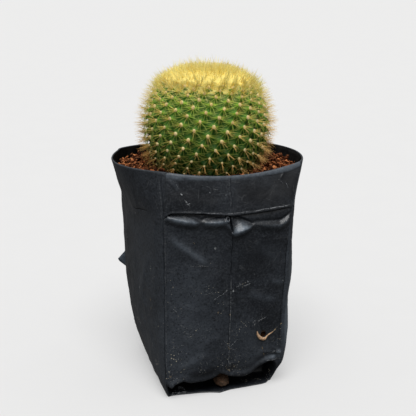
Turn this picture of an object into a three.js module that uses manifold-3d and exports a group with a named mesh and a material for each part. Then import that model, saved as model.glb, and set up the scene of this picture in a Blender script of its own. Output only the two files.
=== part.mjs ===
// A globe cactus potted in a black nursery grow bag.
// Units are millimetres and +Z is up. The ground is z = 0 and the origin lies on it, under
// the middle of the whole outline. The side of the bag with the tuck below its rim faces -Y.

import * as THREE from 'three';
import { mergeVertices } from 'three/addons/utils/BufferGeometryUtils.js';
import Module from 'manifold-3d';

const wasm = await Module();
wasm.setup();

// Fits
const FIT_GAP = 0.35; // left between pieces that touch
const FILM = 0.8; // wall of the bag as a solid

// Middle of the whole outline, seen from above, in the axes that the knots below use
const OUTLINE_MIDDLE = [0.89, 3.52];

// Bag: its four corner creases from the ground up, each knot being [z, x, y]
const FRONT_LEFT = [[0, -37.5, -39.3], [5, -39, -42], [14, -40.5, -44.5], [60, -40.5, -44.5],
  [120, -41, -44.5], [149, -38, -41]];
const FRONT_RIGHT = [[0, 34.5, -38], [18, 39, -44], [45, 37.5, -44.5], [90, 40, -44.5],
  [122, 43, -44], [149, 53.5, -31]];
const BACK_RIGHT = [[0, 27, 27], [8, 36, 37], [25, 42, 43], [90, 45, 44], [122, 46, 44],
  [149, 54.5, 38]];
const BACK_LEFT = [[0, -27, 27], [9, -36, 38], [21, -41, 42.5], [37, -44, 44], [63, -46.5, 45],
  [120, -48.5, 44], [149, -52, 39]];

// How far each side bulges past the straight line between its creases, as knots of height,
// depth and the power that shapes it: 0.5 for a full ellipse, 1 for a parabola
const FRONT_BULGE = [[0, 0, 0.8], [16, 1.5, 0.8], [60, 3.5, 0.8], [115, 2.5, 0.8], [149, 7, 0.8]];
const RIGHT_BULGE = [[0, 1, 0.5], [16, 5.4, 0.5], [30, 8, 0.5], [52, 11.2, 0.5], [85, 10.5, 0.5],
  [120, 9, 0.6], [149, 10, 1]];
const BACK_BULGE = [[0, 4, 0.5], [20, 7, 0.5], [70, 9, 0.5], [120, 9, 0.5], [149, 17, 0.6]];
const LEFT_BULGE = [[0, 3.2, 0.6], [20, 4.2, 0.6], [45, 6, 0.6], [70, 6.6, 0.6], [110, 6.5, 0.7],
  [122, 7.8, 0.8], [136, 13, 0.95], [149, 16.8, 1.1]];

const RIM_HEIGHT = 149; // height that the crease knots call the rim
const RIM_AT_CORNERS = [151, 149.5, 147.5, 149]; // true rim height at each crease, from front left
const RIM_DIP_IN_FRONT = 3.8;
const COLLAR_HEIGHT = 124.5; // lower edge of the folded collar
const COLUMNS_PER_SIDE = 10;
const FRONT_SIDE = 0; // place of the front in the list of sides
const HEM_FADE = 0.12; // share of the front over which the hem fades beside each crease
const STEP_FADE = 0.06; // likewise for the step under the collar
const OPENING_RISE = 5; // how far the space inside is carried past the rim

// Front side near the ground: the bag folds back under an overhanging hem, as [z, y]
const HEM = [[0, -35.2], [1.2, -35.4], [3, -28], [8.5, -32], [11, -42.5], [16, -46]];
const HEM_INSIDE = [[1, -26], [9.5, -26], [13, -40], [16, -43.5]];
const HEM_TOP = 16;

// The film's lower edge stands out in front of the hem as a lip on the ground, by [x, distance]
const LIP = [[-36, 4.2], [-8, 8.6], [26, 8.6], [34, 4]];
const LIP_HEIGHTS = [1.2, 3.4]; // heights where the lip starts to fade and where it is gone
const NO_LIP = [[0, 0], [1, 0]];

// Rows of the bag: [height, how far the front steps back there]
const BAG_ROWS = [[0, 0], [1.2, 0], [3, 0], [8.5, 0], [11, 0], [16, 0], [28, 0], [45, 0],
  [65, 0], [88, 0], [108, 0], [119, 0], [122, 2.4], [COLLAR_HEIGHT, -1.4], [134, -0.4],
  [149, 0]];
// Rows of the space inside it: [height, wall thickness, extra thickness in front]
const INSIDE_ROWS = [[1, 1.6, 0], [9.5, 1.4, 0], [13, 1.3, 0], [16, 1.2, 0], [28, 1, 0],
  [45, FILM, 0], [75, FILM, 0], [108, FILM, 0.4], [118, FILM, 2.6], [125, FILM, 2.6],
  [134, FILM, 0.4], [142, FILM, 0], [149, FILM, 0]];

// Small features of the bag
const FLAP = { base: [-47.6, 44.6, 61.5], height: 12.5, reach: 6, thickness: 0.9, root: 2, turn: -0.35 };
const HOLE_LENGTH = 9;
const HOLE_SIDES = 6;
const DRAIN_HOLES = [
  { at: [22.8, -47, 39.4], along: [0, 1, 0], radius: 1.8 },
  { at: [-45.5, 25, 24], along: [1, 0, 0], radius: 1.7 },
];
const CLOD = { at: [-1.5, -29.5, 5.4], radii: [4.8, 6.4, 3.7] };

// Soil
const SOIL_LEVEL = 143.2;
const SOIL_RINGS = 6;
const SOIL_RING_SPACES = 7.2; // from the wall to the middle
const SOIL_SEED = 11;
const CRUMB_HEIGHT = 1.5;
const CRUMB_SPREAD = 0.8;

// Stem: an ellipsoid of areole tips, slightly leaning, with a flattened top
const STEM_CENTRE = [-1.1, -0.7, 169.2];
const STEM_LEAN = [-2.6, 2.3]; // degrees about X and Y
const STEM_RADIUS = 39.6;
const STEM_HALF_HEIGHT = 44.5;
const TOP_SINK = 8.5; // how far the growing tip lies below the ellipsoid
const TOP_SINK_ANGLE = 0.55;
const GROOVE_DEPTH = 3.2; // between tubercles
const SIDE_GROOVE_DEPTH = 2.944; // beside an areole
const SADDLE_DEPTH = 2.2; // between neighbours along a row

// Areoles: a spiral lattice of equal angles on the globe
const SPIRAL_ROWS = 24;
const SPIRAL_SHIFT = 13; // steps that a row drops by in one turn
const STEP_AZIMUTH = THREE.MathUtils.degToRad(-5.0); // along a row, for each step down
const ROW_AZIMUTH = (2 * Math.PI + SPIRAL_SHIFT * STEP_AZIMUTH) / SPIRAL_ROWS;
const FIRST_AZIMUTH = THREE.MathUtils.degToRad(-99.3);
const STEP_RATE = 0.129; // growth of the logarithmic angle for each step
const EQUATOR_STEP = 0.963;
const CROWN_ANGLE = 0.82; // polar angle of the crown's edge
const SOIL_ANGLE = 2.13; // polar angle of the last areoles above the soil

// Parts of the stem below the soil: [polar angle, inset from the ellipsoid]
const BURIED_RINGS = [[2.38, 1.5]];
const ROOT_NECK = [[120, 5], [128, 9]]; // [height, radius]
const HOLE_CLEARANCE = 0.5; // of the soil around the stem
const HOLE_POLARS = [2.0, 2.12, 2.22];

// Spines. Each stands on a flank of its tubercle, in a direction given as rows and steps.
const SPINE_ROOT = 0.42;
const SPINE_SINK = 1.3;
const SPINE_SEED = 24;
const FLANK_SHARE = 0.38; // how far down the flank the roots are
const SIDE_SPINES = [[0.5, -0.25], [-0.5, 0.25]];
const DOWN_SPINES = [[0.25, 0.5], [0.5, 0.25], [-0.25, 0.5]];
const SIDE_SPINE_LIFT = 0.5;
const DOWN_SPINE_LIFT = 0.8;
const SIDE_SPINE_LENGTHS = [6, 7.5];
const DOWN_SPINE_LENGTHS = [6.5, 9];
// Crown: spines from its middle to its edge, over a bed of wool
const CROWN_SPINES = 130;
const CROWN_SEED = 37;
const CROWN_POLARS = [0.04, 0.72];
const CROWN_MIDDLE_LENGTHS = [6.6, 8.6];
const CROWN_EDGE_LENGTHS = [4.2, 6.2];
const CROWN_SPINE_ROOT = 0.48;
const CROWN_SPINE_SEAT = 0.2;
const CROWN_LEAN = 1.25; // times the polar angle
const CROWN_LEAN_SPREAD = 0.5;
const CROWN_TURN_SPREAD = 0.9;
const CROWN_CORE_THICKNESS = 3.2;
const CROWN_BED_GAP = 0.45;
const CROWN_BED_POLARS = [0.7, 0.4, 0];
const CROWN_CORE_TOP = [[0.74, 0.9], [0.56, -0.4], [0.35, -0.4], [0.15, -0.4]]; // [polar, inset]

const COLOURS = {
  bag: new THREE.Color(0x26282c),
  soil: new THREE.Color(0x8a4a2c),
  stem: new THREE.Color(0x4f7a2e),
  crown: new THREE.Color(0xd9b84a),
};

function seededRandom(seed) {
  let state = seed;
  return () => {
    state = (state + 0x6d2b79f5) | 0;
    let mix = Math.imul(state ^ (state >>> 15), 1 | state);
    mix = (mix + Math.imul(mix ^ (mix >>> 7), 61 | mix)) ^ mix;
    return ((mix ^ (mix >>> 14)) >>> 0) / 4294967296;
  };
}

function between(random, [low, high]) {
  return low + (high - low) * random();
}

function smoothStep(edge0, edge1, value) {
  const t = THREE.MathUtils.clamp((value - edge0) / (edge1 - edge0), 0, 1);
  return t * t * (3 - 2 * t);
}

// Values at a position between knots [position, ...values], on a cubic through the knots
function along(knots, position) {
  let i = 0;
  while (i < knots.length - 2 && position > knots[i + 1][0]) i += 1;
  const a = knots[i];
  const b = knots[i + 1];
  const before = knots[Math.max(i - 1, 0)];
  const after = knots[Math.min(i + 2, knots.length - 1)];
  const span = b[0] - a[0];
  const t = THREE.MathUtils.clamp((position - a[0]) / span, 0, 1);
  return a.slice(1).map((value, n) => {
    const next = b[n + 1];
    const slopeA = ((next - before[n + 1]) / (b[0] - before[0])) * span;
    const slopeB = ((after[n + 1] - value) / (after[0] - a[0])) * span;
    const t2 = t * t;
    const t3 = t2 * t;
    return (2 * t3 - 3 * t2 + 1) * value + (t3 - 2 * t2 + t) * slopeA
      + (3 * t2 - 2 * t3) * next + (t3 - t2) * slopeB;
  });
}

// Value at a position between knots [position, value], on straight lines
function straight(knots, position) {
  let i = 0;
  while (i < knots.length - 2 && position > knots[i + 1][0]) i += 1;
  const [[p0, v0], [p1, v1]] = [knots[i], knots[i + 1]];
  return THREE.MathUtils.lerp(v0, v1, THREE.MathUtils.clamp((position - p0) / (p1 - p0), 0, 1));
}

function geometryOf(points, triangles) {
  const geometry = new THREE.BufferGeometry();
  const flat = points.flatMap((point) => [point.x, point.y, point.z]);
  geometry.setAttribute('position', new THREE.Float32BufferAttribute(flat, 3));
  geometry.setIndex(triangles.flat());
  return geometry;
}

function solidOf(geometry) {
  const bare = geometry.clone();
  bare.deleteAttribute('normal');
  bare.deleteAttribute('uv');
  const merged = mergeVertices(bare, 1e-4);
  return new wasm.Manifold(new wasm.Mesh({
    numProp: 3,
    vertProperties: new Float32Array(merged.attributes.position.array),
    triVerts: new Uint32Array(merged.index.array),
  }));
}

function geometryOfSolid(solid) {
  const mesh = solid.getMesh();
  const geometry = new THREE.BufferGeometry();
  geometry.setAttribute('position', new THREE.BufferAttribute(mesh.vertProperties, 3));
  geometry.setIndex(new THREE.BufferAttribute(mesh.triVerts, 1));
  return geometry;
}

// Joins solids in pairs, so that no join has a long chain before it
function joinAll(solids) {
  if (solids.length === 1) return solids[0];
  const half = Math.ceil(solids.length / 2);
  return joinAll(solids.slice(0, half)).add(joinAll(solids.slice(half)));
}

function transformed(geometry, matrix) {
  return geometry.clone().applyMatrix4(matrix);
}

// Closed body through rings of equally many points, listed from the bottom up
function loft(rings) {
  const count = rings[0].length;
  const points = rings.flat();
  const triangles = [];
  for (let row = 0; row < rings.length - 1; row += 1) {
    for (let column = 0; column < count; column += 1) {
      const a = row * count + column;
      const b = row * count + ((column + 1) % count);
      triangles.push([a, b, b + count], [a, b + count, a + count]);
    }
  }
  const middle = (ring) => ring
    .reduce((sum, point) => sum.add(point), new THREE.Vector3())
    .divideScalar(count);
  const top = (rings.length - 1) * count;
  const under = points.push(middle(rings[0])) - 1;
  const over = points.push(middle(rings[rings.length - 1])) - 1;
  for (let column = 0; column < count; column += 1) {
    const next = (column + 1) % count;
    triangles.push([under, next, column], [over, top + column, top + next]);
  }
  return geometryOf(points, triangles);
}

// Bag: one ring of its outside at a height. Sides run front, right, back, left.
const SIDES = [
  { from: FRONT_LEFT, to: FRONT_RIGHT, bulge: FRONT_BULGE },
  { from: FRONT_RIGHT, to: BACK_RIGHT, bulge: RIGHT_BULGE },
  { from: BACK_RIGHT, to: BACK_LEFT, bulge: BACK_BULGE },
  { from: BACK_LEFT, to: FRONT_LEFT, bulge: LEFT_BULGE },
];

// True height of a row at a place on a side: above the collar rows spread to meet the rim
function rowHeight(side, s, height) {
  const lift = Math.max(0, (height - COLLAR_HEIGHT) / (RIM_HEIGHT - COLLAR_HEIGHT));
  const dip = side === FRONT_SIDE ? RIM_DIP_IN_FRONT * 4 * s * (1 - s) : 0;
  const rim = THREE.MathUtils.lerp(RIM_AT_CORNERS[side], RIM_AT_CORNERS[(side + 1) % 4], s) - dip;
  return height + lift * (rim - RIM_HEIGHT);
}

// How much of a front feature shows at a place: it fades at the creases beside it
function frontShare(side, s, fade) {
  if (side !== FRONT_SIDE) return 0;
  return smoothStep(0, fade, s) * (1 - smoothStep(1 - fade, 1, s));
}

function bagRing(height, stepBack, hem, lip) {
  const ring = [];
  const lipShare = 1 - smoothStep(...LIP_HEIGHTS, height);
  SIDES.forEach(({ from, to, bulge }, side) => {
    const start = new THREE.Vector2(...along(from, height));
    const end = new THREE.Vector2(...along(to, height));
    const outward = new THREE.Vector2(end.y - start.y, start.x - end.x).normalize();
    const [depth, power] = along(bulge, height);
    for (let i = 0; i < COLUMNS_PER_SIDE; i += 1) {
      const s = i / COLUMNS_PER_SIDE;
      const spot = start.clone().lerp(end, s);
      spot.addScaledVector(outward, depth * (4 * s * (1 - s)) ** power);
      if (height < HEM_TOP) {
        const share = frontShare(side, s, HEM_FADE);
        const hemY = straight(hem, height) - straight(lip, spot.x) * lipShare;
        spot.y = THREE.MathUtils.lerp(spot.y, hemY, share);
      }
      spot.y += stepBack * frontShare(side, s, STEP_FADE);
      ring.push(new THREE.Vector3(spot.x, spot.y, rowHeight(side, s, height)));
    }
  });
  return ring;
}

// Ring moved inwards by a distance, square to its sides
function inset(ring, distance) {
  const count = ring.length;
  const normals = ring.map((point, i) => {
    const next = ring[(i + 1) % count];
    return new THREE.Vector2(next.y - point.y, point.x - next.x).normalize();
  });
  return ring.map((point, i) => {
    const before = normals[(i + count - 1) % count];
    const after = normals[i];
    const move = distance / (1 + before.dot(after));
    return new THREE.Vector3(
      point.x - (before.x + after.x) * move,
      point.y - (before.y + after.y) * move,
      point.z,
    );
  });
}

// Rings of the space inside the bag, or with a gap of what fills it
function insideRings(gap) {
  return INSIDE_ROWS.map(([height, wall, extra]) => {
    const ring = inset(bagRing(height, extra, HEM_INSIDE, NO_LIP), wall + gap);
    if (height === INSIDE_ROWS[0][0]) ring.forEach((point) => { point.z += gap; });
    return ring;
  });
}

function clodSolid(gap) {
  const ball = new THREE.IcosahedronGeometry(1, 1);
  const radii = CLOD.radii.map((radius) => radius + gap);
  ball.scale(...radii).translate(...CLOD.at);
  return solidOf(ball);
}

function flapSolid() {
  const { base, height, reach, thickness, root, turn } = FLAP;
  const outline = new THREE.Shape([
    new THREE.Vector2(root, 0),
    new THREE.Vector2(root, height),
    new THREE.Vector2(0, height),
    new THREE.Vector2(-reach, height * 0.45),
    new THREE.Vector2(-reach * 0.8, height * 0.3),
    new THREE.Vector2(0, 0),
  ]);
  const flap = new THREE.ExtrudeGeometry(outline, { depth: thickness, bevelEnabled: false });
  flap.rotateX(Math.PI / 2).rotateZ(turn).translate(...base);
  return solidOf(flap);
}

function drainHole({ at, along: direction, radius }) {
  const hole = new THREE.CylinderGeometry(radius, radius, HOLE_LENGTH, HOLE_SIDES);
  const turn = new THREE.Quaternion().setFromUnitVectors(
    new THREE.Vector3(0, 1, 0),
    new THREE.Vector3(...direction),
  );
  hole.applyQuaternion(turn).translate(...at);
  return solidOf(hole);
}

function growBag() {
  const outside = solidOf(loft(BAG_ROWS.map(([height, step]) => bagRing(height, step, HEM, LIP))));
  const rings = insideRings(0);
  const rim = rings[rings.length - 1];
  const above = rim.map((point) => point.clone().setZ(point.z + OPENING_RISE));
  const inside = solidOf(loft([...rings, above]));
  let bag = outside.add(flapSolid()).subtract(inside).subtract(clodSolid(FIT_GAP));
  DRAIN_HOLES.forEach((hole) => { bag = bag.subtract(drainHole(hole)); });
  return geometryOfSolid(bag);
}

// Soil: fills the bag, with a crumbled top and a hole that the stem stands in
function soilMix() {
  const random = seededRandom(SOIL_SEED);
  const rings = insideRings(FIT_GAP).filter((ring, i) => INSIDE_ROWS[i][0] < SOIL_LEVEL);
  const edge = rings[rings.length - 1];
  const centre = new THREE.Vector3(STEM_CENTRE[0], STEM_CENTRE[1], SOIL_LEVEL);
  for (let ring = 1; ring <= SOIL_RINGS; ring += 1) {
    const share = ring / SOIL_RING_SPACES;
    rings.push(edge.map((point) => {
      const crumb = point.clone().lerp(centre, share);
      crumb.z = SOIL_LEVEL + between(random, [-CRUMB_HEIGHT, CRUMB_HEIGHT]);
      crumb.x += between(random, [-CRUMB_SPREAD, CRUMB_SPREAD]);
      crumb.y += between(random, [-CRUMB_SPREAD, CRUMB_SPREAD]);
      return crumb;
    }));
  }
  const block = solidOf(loft(rings));
  return geometryOfSolid(block.add(clodSolid(0)).subtract(stemHole()));
}

// Stem surface in the stem's own frame, whose origin is the middle of the globe
function stemPoint(polar, azimuth, depth) {
  const sine = Math.sin(polar);
  const cosine = Math.cos(polar);
  const sink = TOP_SINK * Math.exp(-((polar / TOP_SINK_ANGLE) ** 2));
  const point = new THREE.Vector3(
    STEM_RADIUS * sine * Math.cos(azimuth),
    STEM_RADIUS * sine * Math.sin(azimuth),
    STEM_HALF_HEIGHT * cosine - sink,
  );
  return point.addScaledVector(stemNormal(polar, azimuth), -depth);
}

function stemNormal(polar, azimuth) {
  return new THREE.Vector3(
    (Math.sin(polar) * Math.cos(azimuth)) / STEM_RADIUS,
    (Math.sin(polar) * Math.sin(azimuth)) / STEM_RADIUS,
    Math.cos(polar) / STEM_HALF_HEIGHT,
  ).normalize();
}

const stemFrame = new THREE.Matrix4().compose(
  new THREE.Vector3(...STEM_CENTRE),
  new THREE.Quaternion().setFromEuler(new THREE.Euler(
    THREE.MathUtils.degToRad(STEM_LEAN[0]),
    THREE.MathUtils.degToRad(STEM_LEAN[1]),
    0,
  )),
  new THREE.Vector3(1, 1, 1),
);

// Angles of a place in the spiral lattice, given by its row and its step down that row
function latticeAngles(row, step) {
  const down = step + (row * SPIRAL_SHIFT) / SPIRAL_ROWS - EQUATOR_STEP;
  return {
    polar: 2 * Math.atan(Math.exp(STEP_RATE * down)),
    azimuth: FIRST_AZIMUTH + ROW_AZIMUTH * row + STEP_AZIMUTH * step,
  };
}

// First step of a row whose polar angle is past the one given
function firstStepPast(row, polar) {
  const down = Math.log(Math.tan(polar / 2)) / STEP_RATE + EQUATOR_STEP;
  return Math.ceil(down - (row * SPIRAL_SHIFT) / SPIRAL_ROWS);
}

// Ring of a plain surface of revolution in the stem's frame, at the azimuths of a loop
function plainRing(azimuths, radius, height) {
  return azimuths.map((azimuth) => new THREE.Vector3(
    radius * Math.cos(azimuth),
    radius * Math.sin(azimuth),
    height,
  ));
}

// Body of the stem: a tubercle for each areole, closed above by the bed of the crown and
// below by the neck of the root
function stemBody() {
  const points = [];
  const triangles = [];
  const indexOf = new Map();
  // Lattice places count in halves: whole ones are areoles, the rest lie between them.
  const vertex = (row2, step2) => {
    const turns = Math.floor(row2 / (2 * SPIRAL_ROWS));
    const row = row2 - turns * 2 * SPIRAL_ROWS;
    const step = step2 + turns * 2 * SPIRAL_SHIFT;
    const key = `${row},${step}`;
    if (!indexOf.has(key)) {
      const { polar, azimuth } = latticeAngles(row / 2, step / 2);
      const betweenRows = row % 2 !== 0;
      const betweenSteps = step % 2 !== 0;
      let depth = 0;
      if (betweenRows && betweenSteps) depth = GROOVE_DEPTH;
      else if (betweenRows) depth = SIDE_GROOVE_DEPTH;
      else if (betweenSteps) depth = SADDLE_DEPTH;
      indexOf.set(key, points.push(stemPoint(polar, azimuth, depth)) - 1);
    }
    return indexOf.get(key);
  };
  const topLoop = [];
  const bottomLoop = [];
  for (let strip = 0; strip < SPIRAL_ROWS; strip += 1) {
    const first = firstStepPast(strip + 0.5, CROWN_ANGLE);
    const last = firstStepPast(strip + 0.5, SOIL_ANGLE);
    for (let step = first; step < last; step += 1) {
      const ring = [[0, 0], [1, 0], [2, 0], [2, 1], [2, 2], [1, 2], [0, 2], [0, 1]]
        .map(([r, s]) => vertex(2 * strip + r, 2 * step + s));
      const middle = vertex(2 * strip + 1, 2 * step + 1);
      ring.forEach((corner, i) => {
        triangles.push([middle, ring[(i + 1) % ring.length], corner]);
      });
    }
    const nextFirst = firstStepPast(strip + 1.5, CROWN_ANGLE);
    const nextLast = firstStepPast(strip + 1.5, SOIL_ANGLE);
    topLoop.push([2 * strip, 2 * first], [2 * strip + 1, 2 * first]);
    bottomLoop.push([2 * strip, 2 * last], [2 * strip + 1, 2 * last]);
    for (let back = 2 * first; back > 2 * nextFirst; back -= 1) {
      topLoop.push([2 * strip + 2, back]);
    }
    for (let back = 2 * last; back > 2 * nextLast; back -= 1) {
      bottomLoop.push([2 * strip + 2, back]);
    }
  }
  closeStem(points, triangles, topLoop, vertex, crownBed(0), 1);
  closeStem(points, triangles, bottomLoop, vertex, buriedEnd(), -1);
  return geometryOf(points, triangles);
}

// Joins a loop of lattice places to rings of a plain surface and to a middle point
function closeStem(points, triangles, loop, vertex, profile, upward) {
  const azimuths = loop.map(([row2, step2]) => latticeAngles(row2 / 2, step2 / 2).azimuth);
  let ring = loop.map(([row2, step2]) => vertex(row2, step2));
  const count = ring.length;
  const face = (a, b, c) => triangles.push(upward > 0 ? [a, b, c] : [a, c, b]);
  profile.slice(0, -1).forEach(([radius, height]) => {
    const next = plainRing(azimuths, radius, height).map((point) => points.push(point) - 1);
    for (let i = 0; i < count; i += 1) {
      const j = (i + 1) % count;
      face(ring[i], ring[j], next[j]);
      face(ring[i], next[j], next[i]);
    }
    ring = next;
  });
  const [, height] = profile[profile.length - 1];
  const end = points.push(new THREE.Vector3(0, 0, height)) - 1;
  for (let i = 0; i < count; i += 1) {
    face(ring[i], ring[(i + 1) % count], end);
  }
}

// Bed that the crown sits in, and with a lift the underside of the crown: [radius, height]
function crownBed(lift) {
  return CROWN_BED_POLARS.map((polar) => {
    const point = stemPoint(polar, 0, CROWN_CORE_THICKNESS - lift);
    return [polar === 0 ? 0 : point.x, point.z];
  });
}

// Smooth lower end of the stem, in the soil: [radius, height]
function buriedEnd() {
  const rings = BURIED_RINGS.map(([polar, depth]) => {
    const point = stemPoint(polar, 0, depth);
    return [point.x, point.z];
  });
  const neck = [...ROOT_NECK].reverse().map(([height, radius]) => [radius, height - STEM_CENTRE[2]]);
  return [...rings, ...neck, [0, neck[neck.length - 1][1]]];
}

// What is cut from the soil for the stem: its outline, wider by the gap
function stemHole() {
  const above = HOLE_POLARS.map((polar) => {
    const point = stemPoint(polar, 0, -HOLE_CLEARANCE);
    return new THREE.Vector2(point.x, point.z);
  });
  const buried = buriedEnd().map(([radius, height]) => new THREE.Vector2(radius, height));
  const neck = buried.slice(0, -1).map(({ x, y }) => new THREE.Vector2(x + HOLE_CLEARANCE, y));
  const floor = buried[buried.length - 1].y - FIT_GAP;
  neck[neck.length - 1].y = floor;
  const profile = [new THREE.Vector2(0, above[0].y), ...above, ...neck, new THREE.Vector2(0, floor)];
  const hole = new THREE.LatheGeometry(profile.reverse(), 2 * SPIRAL_ROWS);
  hole.rotateX(Math.PI / 2);
  return solidOf(transformed(hole, stemFrame));
}

// One three-sided spine, from a root to a tip
function spine(root, tip, radius) {
  const length = root.distanceTo(tip);
  const cone = new THREE.ConeGeometry(radius, length, 3, 1);
  cone.translate(0, length / 2, 0);
  const direction = tip.clone().sub(root).normalize();
  const upright = new THREE.Vector3(0, 1, 0);
  cone.applyQuaternion(new THREE.Quaternion().setFromUnitVectors(upright, direction));
  cone.translate(root.x, root.y, root.z);
  return solidOf(cone);
}

// Spine on the flank of a tubercle that faces a direction of the lattice
function flankSpine(row, step, [dr, ds], lift, length) {
  const { polar, azimuth } = latticeAngles(row, step);
  const normal = stemNormal(polar, azimuth);
  const tip = stemPoint(polar, azimuth, 0);
  const beside = latticeAngles(row + dr * FLANK_SHARE, step + ds * FLANK_SHARE);
  const seat = stemPoint(beside.polar, beside.azimuth, GROOVE_DEPTH * FLANK_SHARE);
  const outward = seat.clone().sub(tip).projectOnPlane(normal).normalize();
  const direction = outward.multiplyScalar(Math.cos(lift)).addScaledVector(normal, Math.sin(lift));
  return {
    root: seat.clone().addScaledVector(direction, -SPINE_SINK),
    tip: seat.clone().addScaledVector(direction, length),
  };
}

// Spines of the stem below the crown. Those that would reach the soil are left out.
function stemSpines() {
  const random = seededRandom(SPINE_SEED);
  const spines = [];
  const clearHeight = SOIL_LEVEL + CRUMB_HEIGHT + FIT_GAP + SPINE_ROOT;
  for (let row = 0; row < SPIRAL_ROWS; row += 1) {
    const last = firstStepPast(row, SOIL_ANGLE);
    for (let step = firstStepPast(row, CROWN_ANGLE); step < last; step += 1) {
      const plans = SIDE_SPINES.map((way) => [way, SIDE_SPINE_LIFT, SIDE_SPINE_LENGTHS]);
      const down = DOWN_SPINES[Math.floor(random() * DOWN_SPINES.length)];
      if ((row + step) % 2 === 0) plans.push([down, DOWN_SPINE_LIFT, DOWN_SPINE_LENGTHS]);
      plans.forEach(([way, lift, lengths]) => {
        const { root, tip } = flankSpine(row, step, way, lift, between(random, lengths));
        const lowest = tip.clone().applyMatrix4(stemFrame).z;
        if (lowest > clearHeight) spines.push(spine(root, tip, SPINE_ROOT));
      });
    }
  }
  return spines;
}

function cactusStem() {
  const whole = solidOf(stemBody()).add(joinAll(stemSpines()));
  return transformed(geometryOfSolid(whole), stemFrame);
}

// Crown: young spines over a bed of wool, which fills the top of the stem
function crownCore() {
  const azimuths = Array.from({ length: SPIRAL_ROWS }, (unused, i) => (
    (i * 2 * Math.PI) / SPIRAL_ROWS
  ));
  const under = crownBed(CROWN_BED_GAP).slice(0, -1).reverse();
  const over = CROWN_CORE_TOP.map(([polar, depth]) => {
    const point = stemPoint(polar, 0, depth);
    return [point.x, point.z];
  });
  const rings = [...under, ...over].map(([radius, height]) => plainRing(azimuths, radius, height));
  return solidOf(loft(rings));
}

function crownSpineSolids() {
  const random = seededRandom(CROWN_SEED);
  const golden = Math.PI * (3 - Math.sqrt(5));
  const { lerp } = THREE.MathUtils;
  return Array.from({ length: CROWN_SPINES }, (unused, i) => {
    const outward = Math.sqrt((i + 0.5) / CROWN_SPINES);
    const polar = lerp(...CROWN_POLARS, outward);
    const azimuth = golden * i;
    const seat = stemPoint(polar, azimuth, CROWN_SPINE_SEAT);
    const lean = polar * CROWN_LEAN + (random() - 0.5) * CROWN_LEAN_SPREAD;
    const turn = azimuth + (random() - 0.5) * CROWN_TURN_SPREAD;
    const direction = new THREE.Vector3(
      Math.sin(lean) * Math.cos(turn),
      Math.sin(lean) * Math.sin(turn),
      Math.cos(lean),
    );
    const root = seat.clone().addScaledVector(direction, -SPINE_SINK);
    const lengths = CROWN_MIDDLE_LENGTHS.map((long, n) => (
      lerp(long, CROWN_EDGE_LENGTHS[n], outward ** 2)
    ));
    const tip = seat.clone().addScaledVector(direction, between(random, lengths));
    return spine(root, tip, CROWN_SPINE_ROOT);
  });
}

function crownSpines() {
  const whole = crownCore().add(joinAll(crownSpineSolids()));
  return transformed(geometryOfSolid(whole), stemFrame);
}

function namedMesh(name, geometry, color, roughness) {
  const material = new THREE.MeshStandardMaterial({ color, roughness, metalness: 0 });
  const mesh = new THREE.Mesh(geometry, material);
  mesh.name = name;
  return mesh;
}

const group = new THREE.Group();
group.add(
  namedMesh('grow_bag', growBag(), COLOURS.bag, 0.45),
  namedMesh('soil_mix', soilMix(), COLOURS.soil, 0.95),
  namedMesh('cactus_stem', cactusStem(), COLOURS.stem, 0.6),
  namedMesh('crown_spines', crownSpines(), COLOURS.crown, 0.7),
);
group.position.set(-OUTLINE_MIDDLE[0], -OUTLINE_MIDDLE[1], 0);

export default group;
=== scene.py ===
import math

import bmesh
import bpy
import numpy as np
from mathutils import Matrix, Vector
from mathutils.bvhtree import BVHTree


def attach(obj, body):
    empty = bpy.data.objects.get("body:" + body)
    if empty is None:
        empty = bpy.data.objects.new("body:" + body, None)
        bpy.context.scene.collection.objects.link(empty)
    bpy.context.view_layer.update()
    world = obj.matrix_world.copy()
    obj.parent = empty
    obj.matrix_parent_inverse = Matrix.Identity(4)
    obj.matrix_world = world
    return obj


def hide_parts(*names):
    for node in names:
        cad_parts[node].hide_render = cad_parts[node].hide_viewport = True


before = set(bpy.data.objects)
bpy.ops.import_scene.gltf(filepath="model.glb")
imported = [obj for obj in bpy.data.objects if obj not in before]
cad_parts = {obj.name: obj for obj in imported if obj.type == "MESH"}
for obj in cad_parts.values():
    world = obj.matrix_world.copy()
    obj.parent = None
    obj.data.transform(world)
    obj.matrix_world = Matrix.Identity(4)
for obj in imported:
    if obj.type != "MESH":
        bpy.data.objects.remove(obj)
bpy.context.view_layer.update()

# Sizes below are in millimetres, in the axes of the part's own drawing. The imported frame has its
# origin under the middle of the outline and is in metres.
MM = 0.001
OUTLINE_MIDDLE = np.array([0.89, 3.52, 0.0])

# Bag: its four corner creases from the ground up, each knot being [z, x, y]
FRONT_LEFT = [[0, -37.5, -39.3], [5, -39, -42], [14, -40.5, -44.5], [60, -40.5, -44.5],
              [120, -41, -44.5], [149, -38, -41]]
FRONT_RIGHT = [[0, 33.9, -35.3], [9, 36.3, -39.8], [18, 38.2, -44], [45, 37.7, -44.5],
               [90, 40, -44.5], [122, 43, -44], [149, 53.5, -31]]
BACK_RIGHT = [[0, 27, 27], [8, 36, 37], [25, 42, 43], [90, 45, 44], [122, 46, 44], [149, 54.5, 38]]
BACK_LEFT = [[0, -27, 27], [9, -36, 38], [21, -41, 42.5], [37, -44, 44], [63, -46.5, 45],
             [120, -48.5, 44], [149, -52, 39]]

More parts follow.
